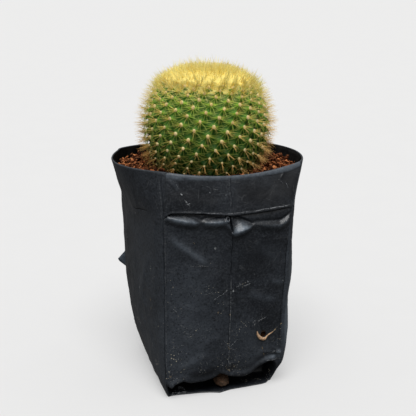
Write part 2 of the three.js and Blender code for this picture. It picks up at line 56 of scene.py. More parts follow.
# How far each side bulges past the straight line between its creases: height, depth, power
FRONT_BULGE = [[0, 0, 0.8], [16, 1.5, 0.8], [60, 3.5, 0.8], [115, 2.5, 0.8], [149, 7, 0.8]]
RIGHT_BULGE = [[0, 1, 0.5], [10, 3.7, 0.5], [18, 7, 0.5], [25, 9, 0.5], [33, 10.4, 0.5],
               [40, 11.3, 0.5], [48, 11, 0.5], [55, 9.8, 0.5], [62, 9.5, 0.5], [72, 11.3, 0.5],
               [85, 10.6, 0.5], [120, 9, 0.6], [149, 10, 1]]
BACK_BULGE = [[0, 4, 0.5], [20, 7, 0.5], [70, 9, 0.5], [120, 9, 0.5], [149, 17, 0.6]]
LEFT_BULGE = [[0, 3.2, 0.6], [20, 4.2, 0.6], [45, 6, 0.6], [70, 6.6, 0.6], [110, 6.5, 0.7],
              [122, 7.8, 0.8], [136, 13, 0.95], [149, 16.8, 1.1]]
SIDES = ((FRONT_LEFT, FRONT_RIGHT, FRONT_BULGE), (FRONT_RIGHT, BACK_RIGHT, RIGHT_BULGE),
         (BACK_RIGHT, BACK_LEFT, BACK_BULGE), (BACK_LEFT, FRONT_LEFT, LEFT_BULGE))
FRONT, RIGHT, BACK, LEFT = range(4)
SIDE_WIDTH = 90
SIDE_COLUMNS = (170, 66, 66, 86)
MIDDLE_COLUMN = 80
ROWS = ((0, 16, 34), (16, 108, 60), (108, 118, 20), (118, 126, 27))  # from, to, number
TOP_ROWS = (126, 149, 18)

RIM_HEIGHT = 149.0
RIM_AT_CORNERS = (151.0, 149.5, 147.5, 149.0, 151.0)
RIM_DIP_IN_FRONT = 3.8
COLLAR_HEIGHT = 124.5

# Hem at the foot of the front and the pocket under the collar, as [row, y or step back, z]
HEM_PATH = [[0, -35.2, 0], [0.8, -35.9, 0.4], [1.6, -34.6, 1.1], [3, -27.5, 2.0],
            [6, -27.0, 6.0], [8.5, -31.5, 8.8], [10.5, -40, 9.9], [11.6, -44.0, 9.7],
            [12.4, -45.4, 10.6], [13.5, -45.9, 12.6], [16, -46, 16]]
HEM_TOP = 16.0
HEM_RISE = (2, 10)
HEM_FADE = (12.4, 34)
HEM_LEVEL = 11.0
HEM_LINE = [[-38.5, 7], [-35, 11.2], [-29, 13.3], [-23.5, 11.4], [-15.5, 12.0], [-9.2, 13.4],
            [-4.7, 16.2], [-1.7, 15.1], [1.6, 13.2], [5.3, 12.3], [12.6, 11.8], [17.1, 13.1],
            [21.7, 16.7], [26.2, 19.0], [30, 20], [37.4, 19.5]]
HEM_BACK = [[0, -24.5], [8, -24.5], [10, -28], [13, -38.5], [16, -43], [20, -43.5]]  # [z, y]
HEM_BACK_RISE = (4, 12)
HEM_BACK_TOP = (15, 19)
# The film's lower edge stands out in front of the hem as a lip on the ground: [x, distance]
LIP = [[-36, 3.2], [-16.7, 4.4], [-10, 5.8], [-4, 7.9], [3.6, 5.5], [18, 4.5], [26, 3.9],
       [30, 2.7], [34, 0.2]]
POCKET_PATH = [[106, 0, 106], [112, 0, 112], [116, 0, 116], [118.5, 0.1, 118.8],
               [120, 0.2, 120.6], [121.2, 0.6, 122.0], [122, 1.1, 122.8], [122.6, 1.0, 123.4],
               [123.1, 0.2, 123.4], [123.5, -0.7, 123.05], [123.9, -1.05, 123.2],
               [124.3, -1.05, 123.6], [124.9, -0.75, 124.4], [126, -0.65, 125.8],
               [131, -0.5, 131], [136, -0.2, 136], [149, 0, 149]]
POCKET_LEVEL = 123.1
POCKET_FADES = (117.5, 121, 127, 145)
POCKET_BACK = 4.8  # from the front to the film behind
POCKET_BACK_FADES = (108, 114, 128, 136)
POCKET_LINE = [[-41, 126.6], [-29, 126.2], [-18, 125.4], [-8, 123.7], [2.4, 122.5],
               [9.5, 122.9], [17.4, 123.2], [30.6, 123.8], [42, 124.5]]

# Rolled rim: [place along the sides, half width, half height]
RIM_ROLL = [[0, 1.2, 2.4], [0.06, 1.3, 2.2], [0.5, 1.2, 1.8], [0.7, 1.4, 2.5],
            [0.88, 1.9, 3.6], [1.0, 1.3, 2.8], [1.12, 0.6, 0.9], [3.85, 0.6, 0.9],
            [4.0, 1.2, 2.4]]
RIM_RINGS = 7
FILM = 0.45
FLOOR_FILM = 1.2

# Numbers that scramble the cells of the noise's lattice
CELL_FACTORS = np.array([73856093, 19349663, 83492791])
SCRAMBLES = ((13, 1274126177), (15, 668265263))
LARGEST = 0x7FFFFFFF


def seeded(seed):
    return np.random.default_rng(seed)


def smooth_step(low, high, value):
    t = np.clip((np.asarray(value, float) - low) / (high - low), 0, 1)
    return t * t * (3 - 2 * t)


def band(value, low, full, falling, end):
    """1 where a value lies from full to falling, with soft ramps to 0 at both sides."""
    return smooth_step(low, full, value) * (1 - smooth_step(falling, end, value))


def lerp(a, b, share):
    return a + (b - a) * share


def unit(vectors):
    return vectors / np.maximum(np.linalg.norm(vectors, axis=-1, keepdims=True), 1e-12)


def xyz(x, y, z):
    """Points from their three coordinates."""
    return np.stack(np.broadcast_arrays(x, y, z), -1)


def along(knots, where):
    """Values at places between knots [place, ...values], on a cubic through the knots."""
    table = np.asarray(knots, float)
    at, values = table[:, 0], table[:, 1:]
    where = np.asarray(where, float)
    i = np.clip(np.searchsorted(at, where) - 1, 0, len(at) - 2)
    before, after = np.maximum(i - 1, 0), np.minimum(i + 2, len(at) - 1)
    span = (at[i + 1] - at[i])[..., None]
    t = np.clip((where - at[i])[..., None] / span, 0, 1)
    slope_a = (values[i + 1] - values[before]) * span / (at[i + 1] - at[before])[..., None]
    slope_b = (values[after] - values[i]) * span / (at[after] - at[i])[..., None]
    t2, t3 = t * t, t * t * t
    return ((2 * t3 - 3 * t2 + 1) * values[i] + (t3 - 2 * t2 + t) * slope_a
            + (3 * t2 - 2 * t3) * values[i + 1] + (t3 - t2) * slope_b)


def straight(knots, where):
    """Values at places between knots [place, value], on straight lines."""
    return np.interp(where, *np.asarray(knots, float).T)


def noise(points, size, seed):
    """Smooth noise between -1 and 1 with features of a size, from a hashed lattice."""
    p = np.asarray(points, float) / size + seed * 17.31
    cell = np.floor(p).astype(np.int64)
    f = p - cell
    f = f * f * (3 - 2 * f)
    total = 0.0
    for corner in range(8):
        step = np.array([corner & 1, corner >> 1 & 1, corner >> 2 & 1])
        mixed = np.bitwise_xor.reduce((cell + step) * CELL_FACTORS, axis=-1)
        for shift, factor in SCRAMBLES:
            mixed = ((mixed ^ (mixed >> shift)) * factor) & LARGEST
        weight = np.prod(np.where(step, f, 1 - f), axis=-1)
        total = total + weight * (mixed / (LARGEST // 2) - 1)
    return total


def add_object(name, data):
    item = bpy.data.objects.new(name, data)
    bpy.context.scene.collection.objects.link(item)
    return item


def mesh_piece(name, points, faces, material, slot, replaces=None, smooth=True, layers=None):
    """A mesh from points in millimetres, which rides on the part's one body."""
    mesh = bpy.data.meshes.new(name)
    placed = (points - OUTLINE_MIDDLE) * MM
    mesh.from_pydata(placed.tolist(), [], faces if isinstance(faces, list) else faces.tolist())
    mesh.validate()
    mesh.polygons.foreach_set("use_smooth", [smooth] * len(mesh.polygons))
    for layer, values in (layers or {}).items():
        attribute = mesh.attributes.new(layer, "FLOAT", "POINT")
        attribute.data.foreach_set("value", np.asarray(values, np.float32))
    mesh.materials.append(material)
    piece = add_object(name, mesh)
    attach(piece, "root")
    if replaces:
        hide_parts(replaces)
    return piece


# Materials

class Nodes:
    """A node tree, to which short calls add nodes."""

    def __init__(self, tree):
        self.tree = tree

    def node(self, kind, inputs=None, **settings):
        node = self.tree.nodes.new("ShaderNode" + kind)
        for key, value in settings.items():
            setattr(node, key, value)
        for key, value in (inputs or {}).items():
            self.feed(node.inputs[key], value)
        return node

    def feed(self, socket, value):
        """Links an output to a socket, or sets the socket to a number or colour."""
        if isinstance(value, bpy.types.NodeSocket):
            self.tree.links.new(value, socket)
        elif isinstance(value, tuple) and len(value) == 3 and socket.type == "RGBA":
            socket.default_value = (*value, 1)
        else:
            socket.default_value = value

    def spread(self, value, low, high, to_low=0.0, to_high=1.0):
        """A value from low to high, mapped to another range."""
        return self.node("MapRange", {"Value": value, "From Min": low, "From Max": high,
                                      "To Min": to_low, "To Max": to_high}).outputs["Result"]

    def mix(self, share, a, b):
        """A colour between two others."""
        return self.node("Mix", {0: share, 6: a, 7: b}, data_type="RGBA").outputs[2]

    def blend(self, colour, *steps):
        """A colour that turns into others, each step being (colour, share) or (colour, value,
        low, high, ...), where the value is spread first."""
        for other, value, *limits in steps:
            colour = self.mix(self.spread(value, *limits) if limits else value, colour, other)
        return colour

    def axis(self, vector, name="Z"):
        return self.node("SeparateXYZ", {0: vector}).outputs[name]


class Shader(Nodes):
    """A material with places in millimetres."""

    def __init__(self, name, roughness, specular):
        self.material = bpy.data.materials.new(name)
        self.material.use_nodes = True
        super().__init__(self.material.node_tree)
        self.surface = self.tree.nodes["Principled BSDF"]
        self.surface.inputs["Roughness"].default_value = roughness
        self.surface.inputs["Specular IOR Level"].default_value = specular
        place = self.node("TexCoord").outputs["Object"]
        self.place = self.node("VectorMath", {"Vector": place, "Scale": 1 / MM},
                               operation="SCALE").outputs["Vector"]

    def changed_place(self, operation, vector):
        return self.node("VectorMath", {0: self.place, 1: vector},
                         operation=operation).outputs["Vector"]

    def noise(self, size, detail=3, roughness=0.5, distortion=0.0, place=None):
        """Noise with features of a size in millimetres."""
        return self.node("TexNoise", {
            "Vector": place or self.place, "Scale": 1 / size, "Detail": detail,
            "Roughness": roughness, "Distortion": distortion}).outputs["Fac"]

    def cells(self, size, place, feature="F1"):
        return self.node("TexVoronoi", {"Vector": place, "Scale": 1 / size}, feature=feature)

    def layer(self, name):
        return self.node("Attribute", attribute_name=name).outputs["Fac"]

    def math(self, operation, a, b):
        return self.node("Math", {0: a, 1: b}, operation=operation).outputs[0]

    def times(self, a, b):
        return self.math("MULTIPLY", a, b)

    def plus(self, a, b):
        return self.math("ADD", a, b)

    def height(self):
        """Height above the ground in millimetres."""
        return self.axis(self.place)

    def bump(self, height, strength, distance):
        """Adds relief on top of any that is there."""
        before = self.surface.inputs["Normal"]
        node = self.node("Bump", {"Height": height, "Strength": strength,
                                  "Distance": distance * MM})
        if before.is_linked:
            self.tree.links.new(before.links[0].from_socket, node.inputs["Normal"])
        self.tree.links.new(node.outputs["Normal"], before)

    def paint(self, colour, roughness=None):
        self.feed(self.surface.inputs["Base Color"], colour)
        if roughness is not None:
            self.feed(self.surface.inputs["Roughness"], roughness)
        return self.material


def floor_material():
    """Pale paper on a light table: half of its brightness is its own."""
    shader = Shader("floor_paper", 0.9, 0.0)
    shader.surface.inputs["Emission Color"].default_value = (1, 1, 1, 1)
    shader.surface.inputs["Emission Strength"].default_value = FLOOR_GLOW
    dark, pale = (0.402, 0.402, 0.402), (0.408, 0.408, 0.408)
    return shader.paint(shader.blend(dark, (pale, shader.noise(40, 2), 0.3, 0.7)))


def film_material():
    """Black polythene, scuffed, with a bluish haze of dust. Its colour also holds painted sheen and
    highlights where the film faces the light, and painted shade in the collar and the hem.
    """
    shader = Shader("black_film", 0.4, 0.45)
    low = shader.spread(shader.height(), 20, 120, 1.0, 0.3)
    haze_and_sheen = shader.plus(shader.noise(30, 4, 0.55), shader.times(shader.noise(3.4, 5, 0.7), 0.4))
    haze_and_sheen = shader.times(shader.spread(haze_and_sheen, 0.55, 0.95), shader.spread(low, 0.0, 1.0, 0.3, 1.0))
    # The layer adds dust haze and painted sheen: paler bluish film where folds, rim and panels face
    # the light
    haze_and_sheen = shader.plus(haze_and_sheen, shader.times(shader.layer("haze_and_sheen"), 0.9))
    dull = shader.noise(1.3, 2, 0.8)
    sheen = shader.spread(shader.noise(1.8, 4, 0.65), 0.3, 0.62, 0.5, 1.1)
    colour = shader.blend((0.0115, 0.0138, 0.0178),
                          ((0.042, 0.050, 0.062), haze_and_sheen),
                          ((0.052, 0.058, 0.066), dull, 0.52, 0.72, 0.0, 0.7),
                          ((0.003, 0.004, 0.005), dull, 0.28, 0.48, 0.8, 0.0),
                          # Painted shade: near black where the film lies in shade, in the collar
                          # and in the fold of the hem
                          ((0.005, 0.006, 0.008), shader.layer("dim")),
                          # Painted highlight: pale bluish film where the puffs, rim and folds face
                          # the light
                          ((0.165, 0.200, 0.240), shader.times(sheen, shader.layer("painted_highlight"))))

    drift = shader.spread(shader.noise(15, 4, 0.6), 0.40, 0.66)
    drift = shader.times(drift, shader.spread(low, 0.2, 1.0, 0.3, 1.0))
    drift = shader.math("MAXIMUM", drift, shader.layer("dust"))
    for size, shift, pale in ((1.0, (0, 0, 0), (0.38, 0.38, 0.36)),
                              (1.6, (36, 16, 0), (0.46, 0.42, 0.33))):
        specks = shader.cells(size, shader.changed_place("ADD", shift))
        chance = shader.times(shader.axis(specks.outputs["Color"], "X"), drift)
        limit = shader.spread(chance, 0.22, 0.9, 0.0, 0.32)
        grain = shader.math("LESS_THAN", specks.outputs["Distance"], limit)
        colour = shader.mix(shader.times(grain, 0.85), colour, pale)

    for size, stretch in ((8, (1.0, 1.0, 0.5)), (13, (0.6, 0.6, 1.2))):
        edges = shader.cells(size, shader.changed_place("MULTIPLY", stretch), "DISTANCE_TO_EDGE")
        scratch = shader.spread(edges.outputs["Distance"], 0.0, 0.022, 1.0, 0.0)
        wear = shader.spread(shader.noise(6 + size / 4, 3, 0.6), 0.55, 0.63)
        scratch = shader.times(shader.times(scratch, wear), 0.25)
        colour = shader.mix(scratch, colour, (0.12, 0.125, 0.13))

    broken = shader.spread(shader.noise(0.8, 3, 0.7), 0.44, 0.56)
    for name, pale in (("scuff", (0.46, 0.48, 0.49)), ("earth", (0.40, 0.29, 0.15))):
        mark = shader.times(shader.layer(name), broken)
        colour = shader.blend(colour, (pale, mark, 0.10, 0.55))

    rough = shader.spread(shader.noise(9, 4, 0.6), 0.3, 0.7, 0.26, 0.44)
    rough = shader.plus(rough, shader.times(haze_and_sheen, 0.08))
    pulled = shader.changed_place("MULTIPLY", (1.0, 1.0, 0.08))
    shader.bump(shader.noise(1.2, 3, 0.5, place=pulled), 0.28, 0.3)
    shader.bump(shader.noise(2.8, 4, 0.6, 0.8), 0.30, 0.6)
    shader.bump(shader.noise(8.0, 3, 0.5, 1.2), 0.30, 1.2)
    return shader.paint(colour, rough)


# Materials that vary between two colours: (roughness, specular), noise that chooses the colour and
# its limits, the colours, noise of the relief, its strength and depth. The slate film of the fin is
# a paler grey-blue than the bag. The inner film is painted near black as shade, and is dull with
# damp earth. The soil bed under the granules is painted near black as the shade between them.
WOOL = ((0.95, 0.1), (0.42, 4, 0.7), (0.3, 0.66))
WOOL_RELIEF = ((0.42, 4, 0.7), 0.8, 0.3)
TWO_TONE = {
    # Painted shade: the inner film is near black
    "inner_film_painted_shade": ((0.85, 0.06), (6, 4, 0.6), (0.35, 0.65), (0.003, 0.003, 0.003),
                   (0.012, 0.011, 0.010), (2.8, 4, 0.6, 0.8), 0.30, 0.6),
    "slate_film": ((0.45, 0.5), (2.4, 4, 0.6), (0.35, 0.65), (0.035, 0.048, 0.064),
                   (0.105, 0.130, 0.160), (1.4, 3), 0.3, 0.4),
    "torn_film": ((0.6, 0.3), (0.9, 4, 0.6), (0.35, 0.65), (0.30, 0.17, 0.09),
                  (0.68, 0.47, 0.30), (0.5, 3), 0.4, 0.2),
    # Painted shade: the soil bed is near black, as in the gaps between the granules
    "soil_bed_painted_shade": (*WOOL, (0.012, 0.006, 0.003), (0.055, 0.022, 0.010), *WOOL_RELIEF),
    "areole_wool": (*WOOL, (0.92, 0.64, 0.24), (1.0, 0.90, 0.52), *WOOL_RELIEF),
    "crown_wool": (*WOOL, (0.88, 0.62, 0.10), (1.0, 0.92, 0.36), *WOOL_RELIEF),
}


def two_tone(name):
    finish, grain, limits, dark, pale, relief, strength, depth = TWO_TONE[name]
    shader = Shader(name, *finish)
    shader.bump(shader.noise(*relief), strength, depth)
    return shader.paint(shader.blend(dark, (pale, shader.noise(*grain), *limits)))


def scratch_material():
    """Burrs of scratched film, pale where they are freshest, and painted highlights along creases
    and edges, with dry earth in some.
    """
    shader = Shader("scratched_and_highlit_film", 0.5, 0.3)
    paleness = shader.spread(shader.noise(1.0, 4, 0.75), 0.42, 0.60, 0.0, 0.8)
    paleness = shader.times(shader.layer("strength"), paleness)
    pale = shader.mix(shader.layer("earth"), (0.46, 0.48, 0.50), (0.58, 0.43, 0.24))
    shader.bump(shader.noise(0.7, 3), 0.4, 0.2)
    return shader.paint(shader.mix(paleness, (0.016, 0.019, 0.024), pale))


def crease_material():
    """Painted shade in sharp creases: near black lines along the folds of the film."""
    shader = Shader("crease_shade_film", 0.42, 0.15)
    crease_shade = shader.spread(shader.noise(2.6, 4, 0.7), 0.36, 0.62, 1.0, 0.5)
    crease_shade = shader.times(shader.layer("strength"), crease_shade)
    shader.bump(shader.noise(1.4, 3), 0.3, 0.2)
    return shader.paint(shader.mix(crease_shade, (0.022, 0.026, 0.032), (0.0015, 0.002, 0.003)))


def soil_material():
    """Granules of baked clay and bark, red-brown, with painted highlight where their faces turn
    upward.
    """
    shader = Shader("red_soil", 0.82, 0.12)
    grain = shader.noise(0.6, 4, 0.65)
    tone = shader.layer("tone")
    # Painted highlight: faces that turn up are painted paler, as if lit from above
    upward = shader.axis(shader.node("NewGeometry").outputs["Normal"])
    pale = shader.times(shader.spread(tone, 0.4, 0.9, 0.2, 1.0),
                        shader.spread(upward, 0.5, 0.92))
    colour = shader.blend((0.045, 0.011, 0.004),
                          ((0.26, 0.070, 0.020), shader.noise(3.4, 1), 0.40, 0.62),
                          ((0.010, 0.003, 0.0015), tone, 0.0, 0.58, 0.95, 0.0),
                          ((0.92, 0.35, 0.13), pale),
                          ((0.022, 0.008, 0.004), grain, 0.35, 0.6, 0.65, 0.0),
                          ((0.125, 0.085, 0.058), shader.height(), 14, 30, 0.8, 0.0))
    shader.bump(grain, 0.5, 0.4)
    return shader.paint(colour, shader.spread(grain, 0.3, 0.7, 0.92, 0.7))


def skin_material():
    """Green skin, with painted shade in the grooves and low on the stem."""
    shader = Shader("green_skin", 0.52, 0.2)
    mottle = shader.noise(1.6, 4, 0.6)
    colour = shader.blend((0.16, 0.50, 0.050),
                          ((0.42, 0.84, 0.15), mottle, 0.32, 0.68),
                          # Painted shade: darker low on the stem and deep in the grooves
                          ((0.006, 0.038, 0.002), shader.height(), 156, 206, 0.97, 0.0),
                          ((0.010, 0.060, 0.003), shader.layer("groove"), 0.2, 1.0, 0.0, 0.85))
    shader.bump(shader.noise(0.45, 3, 0.6), 0.25, 0.15)
    return shader.paint(colour, shader.spread(mottle, 0.3, 0.7, 0.6, 0.45))


def spine_material():
    """Golden spines at the crown, straw ones on the sides and brown ones at the soil. They are
    paler in the middle, and each is a little lighter or darker than the next. The side needles are
    painted darker low on the stem, as painted shade."""
    shader = Shader("spines", 0.5, 0.2)
    place, tone, height = shader.layer("along"), shader.layer("tone"), shader.height()
    tan = shader.blend((0.82, 0.46, 0.15), ((1.0, 0.76, 0.24), height, 146, 190))
    gold = shader.blend((0.96, 0.70, 0.11),
                        ((1.0, 0.95, 0.40), place, 0.0, 0.5),
                        ((0.78, 0.58, 0.26), place, 0.8, 1.0),
                        ((0.90, 0.58, 0.08), tone, 0.6, 1.0, 0.0, 0.7))
    colour = shader.blend((0.52, 0.92, 0.06),
                          ((0.94, 1.0, 0.26), place),
                          # Painted shade: the side needles darken low on the stem
                          ((0.05, 0.075, 0.010), height, 150, 204, 0.92, 0.0),
                          (tan, shader.layer("upright")),
                          (gold, shader.layer("young")),
                          ((0.42, 0.25, 0.09), shader.layer("old")),
                          ((0.20, 0.13, 0.03), tone, 0.0, 0.4, 0.5, 0.0))
    shader.bump(shader.noise(0.2, 2), 0.2, 0.05)
    return shader.paint(colour)


# Camera and light

CAMERA_AT = np.array([-158.23, -553.08, 284.4])
CAMERA_TARGET = np.array([0.32, -0.09, 114.0])
CAMERA_LENS = 77.885
KEY_LIGHT_FROM = (-0.14, -0.50, 1.0)
KEY_LIGHT_DISC = 36  # degrees
KEY_LIGHT_POWER = 2.3
KEY_LIGHT_COLOUR = (1.0, 0.995, 0.985)
WORLD_TONES = ((0.0, 0.09), (0.50, 0.11), (0.66, 0.36), (1.0, 0.66))  # from the foot to the top
BACKDROP = (0.846, 0.846, 0.846)
FLOOR_REACH = 40  # metres
FLOOR_GLOW = 0.375


def camera():
    data = bpy.data.cameras.new("camera")
    data.lens = CAMERA_LENS
    data.sensor_width = 36
    data.clip_start, data.clip_end = 0.05, 100
    item = add_object("camera", data)
    item.location = (CAMERA_AT - OUTLINE_MIDDLE) * MM
    item.rotation_euler = Vector(CAMERA_TARGET - CAMERA_AT).to_track_quat("-Z", "Y").to_euler()
    bpy.context.scene.camera = item


def studio():
    """A pale floor under a soft bright ceiling. The floor sends no light back, so that the part's
    lower side is lit by the darker lower half of the world alone. To the camera the world is a
    backdrop as pale as the floor."""
    scene = bpy.context.scene
    scene.view_settings.view_transform = "Standard"
    scene.world = bpy.data.worlds.new("studio")
    scene.world.use_nodes = True
    nodes = Nodes(scene.world.node_tree)
    height = nodes.axis(nodes.node("TexCoord").outputs["Generated"])
    ramp = nodes.node("ValToRGB", {"Fac": nodes.spread(height, -1, 1)})
    stops = ramp.color_ramp.elements
    while len(stops) < len(WORLD_TONES):
        stops.new(0.5)
    for stop, (place, tone) in zip(stops, WORLD_TONES):
        stop.position = place
        stop.color = (tone, tone, tone, 1)
    seen = nodes.node("LightPath").outputs["Is Camera Ray"]
    nodes.feed(nodes.tree.nodes["Background"].inputs["Color"],
               nodes.mix(seen, ramp.outputs["Color"], BACKDROP))

    light = bpy.data.lights.new("key_light", "SUN")
    light.energy = KEY_LIGHT_POWER
    light.angle = math.radians(KEY_LIGHT_DISC)
    light.color = KEY_LIGHT_COLOUR
    lamp = add_object("key_light", light)
    lamp.rotation_euler = Vector(KEY_LIGHT_FROM).to_track_quat("Z", "Y").to_euler()

    mesh = bpy.data.meshes.new("floor")
    corners = np.array([(-1, -1, 0), (1, -1, 0), (1, 1, 0), (-1, 1, 0)]) * FLOOR_REACH
    mesh.from_pydata(corners.tolist(), [], [(0, 1, 2, 3)])
    mesh.materials.append(floor_material())
    floor = add_object("floor", mesh)
    floor.visible_diffuse = floor.visible_glossy = False


# Bag

# Creases and soft ridges of the film on each side, from one point to another, as (across, z,
# across, z, width, height). Across runs from -45 to 45 between the side's two creases, and on
# the front it is x. A width below zero makes a sharp crease of that width.
FOLDS = {
    FRONT: [(-39.6, 18, -39.6, 124, -0.55, 0.18), (2.4, 147, 2.7, 96, -0.6, 0.30),
            (2.7, 110, 0.3, 14, -0.6, 0.42), (-38, 111, -14, 90.5, 2.6, 0.95),
            (-22, 92.1, -7, 90.8, -0.5, 0.35), (13.5, 70.5, 23, 65.2, 2.0, 0.7),
            (23, 65.2, 33, 62.6, 2.0, 0.6), (17.7, 104.9, 34.7, 88.5, 5.5, 0.9),
            (27, 78, 38, 72.5, 2.6, 0.9), (22, 27.5, 39, 24, -0.7, 0.9),
            (31, 30, 39, 22, -0.6, 0.6), (22, 33, 30, 18, -1.0, -0.5),
            (46, 151, 36, 141, -1.2, 0.8), (-41, 151, -33, 141.5, -1.0, 0.45),
            (-34, 20, -12, 31, 2.4, 0.6), (-8, 18, 10, 24, 2.2, 0.6),
            (-30, 44, -20, 35, 1.6, 0.45), (4, 60, 20, 46, 2.2, 0.5),
            (-34, 66, -12, 58, 2.8, 0.4)],
    LEFT: [(8.5, 121.2, 31.5, 125.2, -0.8, -0.6), (-30, 34, -14, 28, 2.6, -1.3),
           (-34, 60, -6, 84, 3.2, 0.7), (0, 40, 30, 96, 3.6, 0.7), (30, 26, 12, 70, 2.8, 0.5)],
    RIGHT: [(-30, 128, -26, 112, -1.2, 0.6), (-34, 100, -24, 60, 2.6, 0.9),
            (-10, 120, 6, 40, 3.0, 0.8), (20, 90, 34, 30, 2.6, 0.8)],
    BACK: [(0, 146, 0.5, 12, -0.6, 0.45), (-34, 110, -8, 84, 3.2, 0.9),
           (10, 60, 34, 84, 3.0, 0.9), (-28, 30, -6, 52, 2.4, 0.8), (12, 126, 36, 120, -0.9, 0.6)],
}
RANDOM_FOLDS = 15  # more on each side
FOLD_LENGTHS = (7, 24)
FOLD_WIDTHS = (-0.7, -0.5, 1.4, 2.2)
FOLD_HEIGHTS = (0.12, 0.34)
FOLD_SLANT = 1.2  # radians
SWELLS = ((0.55, 34, 1), (0.34, 15, 2))  # (height, size, seed)
CRUMPLE = (0.42, 11, 3)
PUCKER = (0.07, 3.2, 4)
CLOD_DENT = (-0.4, 5.4), (6.5, 4.5)  # where the hem gives way to the clod: middle, half sizes
CLOD_DENT_DEPTH = 3.5

# Puffed film below the collar: x, height and stand-out of its lower ridge, then height and
# stand-out of the valley above it. The pleat is at x 1 to 16.
PUFFS = [[-43, 125.2, 0, 125.6, 0], [-41.2, 124.9, 0.5, 125.4, -0.3],
         [-38, 124.0, 1.5, 125.3, -0.3], [-34, 122.9, 2.4, 125.0, -0.3],
         [-27.5, 121.4, 3.0, 124.6, -0.4], [-22, 120.3, 2.7, 123.4, -0.5],
         [-18.4, 119.7, 1.0, 121.4, -0.5], [-16.8, 119.7, 0.6, 121.2, -0.4],
         [-15, 119.6, 1.7, 121.6, -0.7], [-9, 119.2, 2.5, 121.9, -0.9],
         [-4, 119.3, 2.2, 121.8, -0.9], [-2, 119.0, 1.6, 121.5, -0.7],
         [1.4, 114.0, 1.2, 121.2, -0.2], [2.6, 111.7, 1.7, 121.2, -0.4],
         [5, 112.2, 3.4, 120.6, -2.0], [8, 113.2, 4.0, 119.6, -2.2],
         [12, 114.3, 3.0, 117.9, -1.4], [15.6, 115.1, 0.9, 116.0, -0.3],
         [17.5, 115.5, 0.5, 117.4, -0.4], [24, 114.5, 1.2, 117.0, -0.6],
         [34, 113.6, 1.4, 116.3, -0.6], [38, 115.2, 1.5, 117.9, -0.7],
         [41.4, 117.8, 1.0, 120.4, -0.5], [43.5, 119, 0.2, 121, -0.1]]
PUFF_REACH = 6.0
PLEAT_CROWD, PLEAT_PLACE, PLEAT_WIDTH = 1.3, 0.52, 0.035
PLEAT_SLIT = [(1.0, 121.8), (2.5, 111.3)]
SLIT_WIDTH = 0.38
SLIT_DEPTH = 3.6
PLEAT_LOOP = (-0.4, 120.4), (1.25, 1.7)  # a small loop of film: middle and half sizes
LOOP_HEIGHT = 1.5

# Lines on the front: (x, z, x, z, width, strength). The dark lines are painted shade in the
# creases. The pale lines are scratches, and painted highlights beside the creases, along the
# collar's lower edge, on the lip and on facets low at the right. The earth lines are dry earth in
# scratches.
DARK_LINES = [
    (-40.9, 124, -40.7, 8, 0.4, 0.35), (-40.4, 149, -40.8, 126, 0.4, 0.6),
    (2.3, 147, 2.1, 125, 0.4, 0.5), (2.5, 111, 1.9, 84, 0.55, 0.9),
    (1.1, 80, 0.2, 18, 0.4, 0.35), (38.6, 78, 40.2, 104, 0.5, 0.8),
    (36.8, 62, 38.6, 78, 0.5, 0.8), (35.6, 30, 36.8, 62, 0.5, 0.8),
]
PALE_LINES = [
    (-39.9, 124, -39.8, 12, 0.3, 0.35), (1.7, 82, 0.7, 17, 0.35, 0.7),
    (1.4, 147, 1.3, 126, 0.3, 0.3), (-41.4, 148, -41.6, 120, 0.3, 0.3),
    (-29.8, 138.3, -28.6, 137.2, 0.9, 1.0), (-27.6, 134.4, -24.2, 130.2, 0.8, 1.0),
    (-27.4, 131.6, -23.8, 132.4, 0.5, 0.9), (-17, 142.6, -5, 138.5, 0.3, 0.35),
    (-11.6, 138.0, -11.2, 137.0, 0.45, 1.0), (-33.5, 146, -30, 140, 0.3, 0.35),
    (35, 141.5, 38, 138, 0.35, 0.5), (39.5, 139, 41.5, 135, 0.35, 0.6),
    (-24.5, 91.4, -12.2, 90.2, 0.3, 0.5), (-20.6, 92.6, -15, 91.2, 0.3, 0.4),
    (-9.4, 67.6, -4.6, 70.6, 0.4, 0.8), (-4.2, 70.9, -0.6, 73.6, 0.45, 1.0),
    (-16, 71.9, -10, 73.2, 0.28, 0.35), (5, 75.0, 8, 75.6, 0.35, 0.6),
    (10, 75.2, 15, 76.6, 0.3, 0.6), (7, 77.0, 8.4, 76.4, 0.4, 0.9),
    (12.5, 78.4, 13.4, 77.4, 0.4, 0.9), (17.6, 52, 18.4, 47.5, 0.35, 0.8),
    (20.4, 49.4, 25.6, 51.6, 0.35, 0.8), (22.6, 55, 23.2, 50.6, 0.35, 0.6),
    (-35.5, 64, -33, 61, 0.4, 0.5), (-31.5, 53, -26.5, 49.5, 0.35, 0.6),
    (-28, 46.4, -22, 45, 0.3, 0.35), (-30.5, 38.5, -29, 38, 0.4, 0.6),
    (-33, 30.5, -29, 28.2, 0.3, 0.4), (-14.5, 25.5, -13.6, 22, 0.35, 0.6),
    (-18.5, 18.5, -17.7, 17.8, 0.45, 0.9), (-37.5, 36.8, -34, 36.5, 0.3, 0.5),
    (37.2, 76, 37.6, 74.5, 0.35, 0.9), (-3.6, 40, 1.0, 34.2, 0.3, 0.6),
    (1.2, 34, 7, 38.4, 0.3, 0.6), (1.0, 33.4, 6.4, 30.2, 0.3, 0.5),
    (-22, 126.4, -3, 124.2, 0.5, 0.4), (-1, 124.0, 15, 124.1, 0.5, 0.4),
    (16, 124.2, 41, 125.5, 0.6, 0.6), (-36.4, 1.2, -25, 1.0, 0.8, 1.0),
    (26, 24.4, 37, 26.2, 0.5, 0.5), (32, 26.4, 37.4, 22.6, 0.4, 0.7),
    (34, 27.2, 38, 24.2, 0.4, 0.6), (27, 19.8, 38, 19.6, 0.5, 0.4),
]
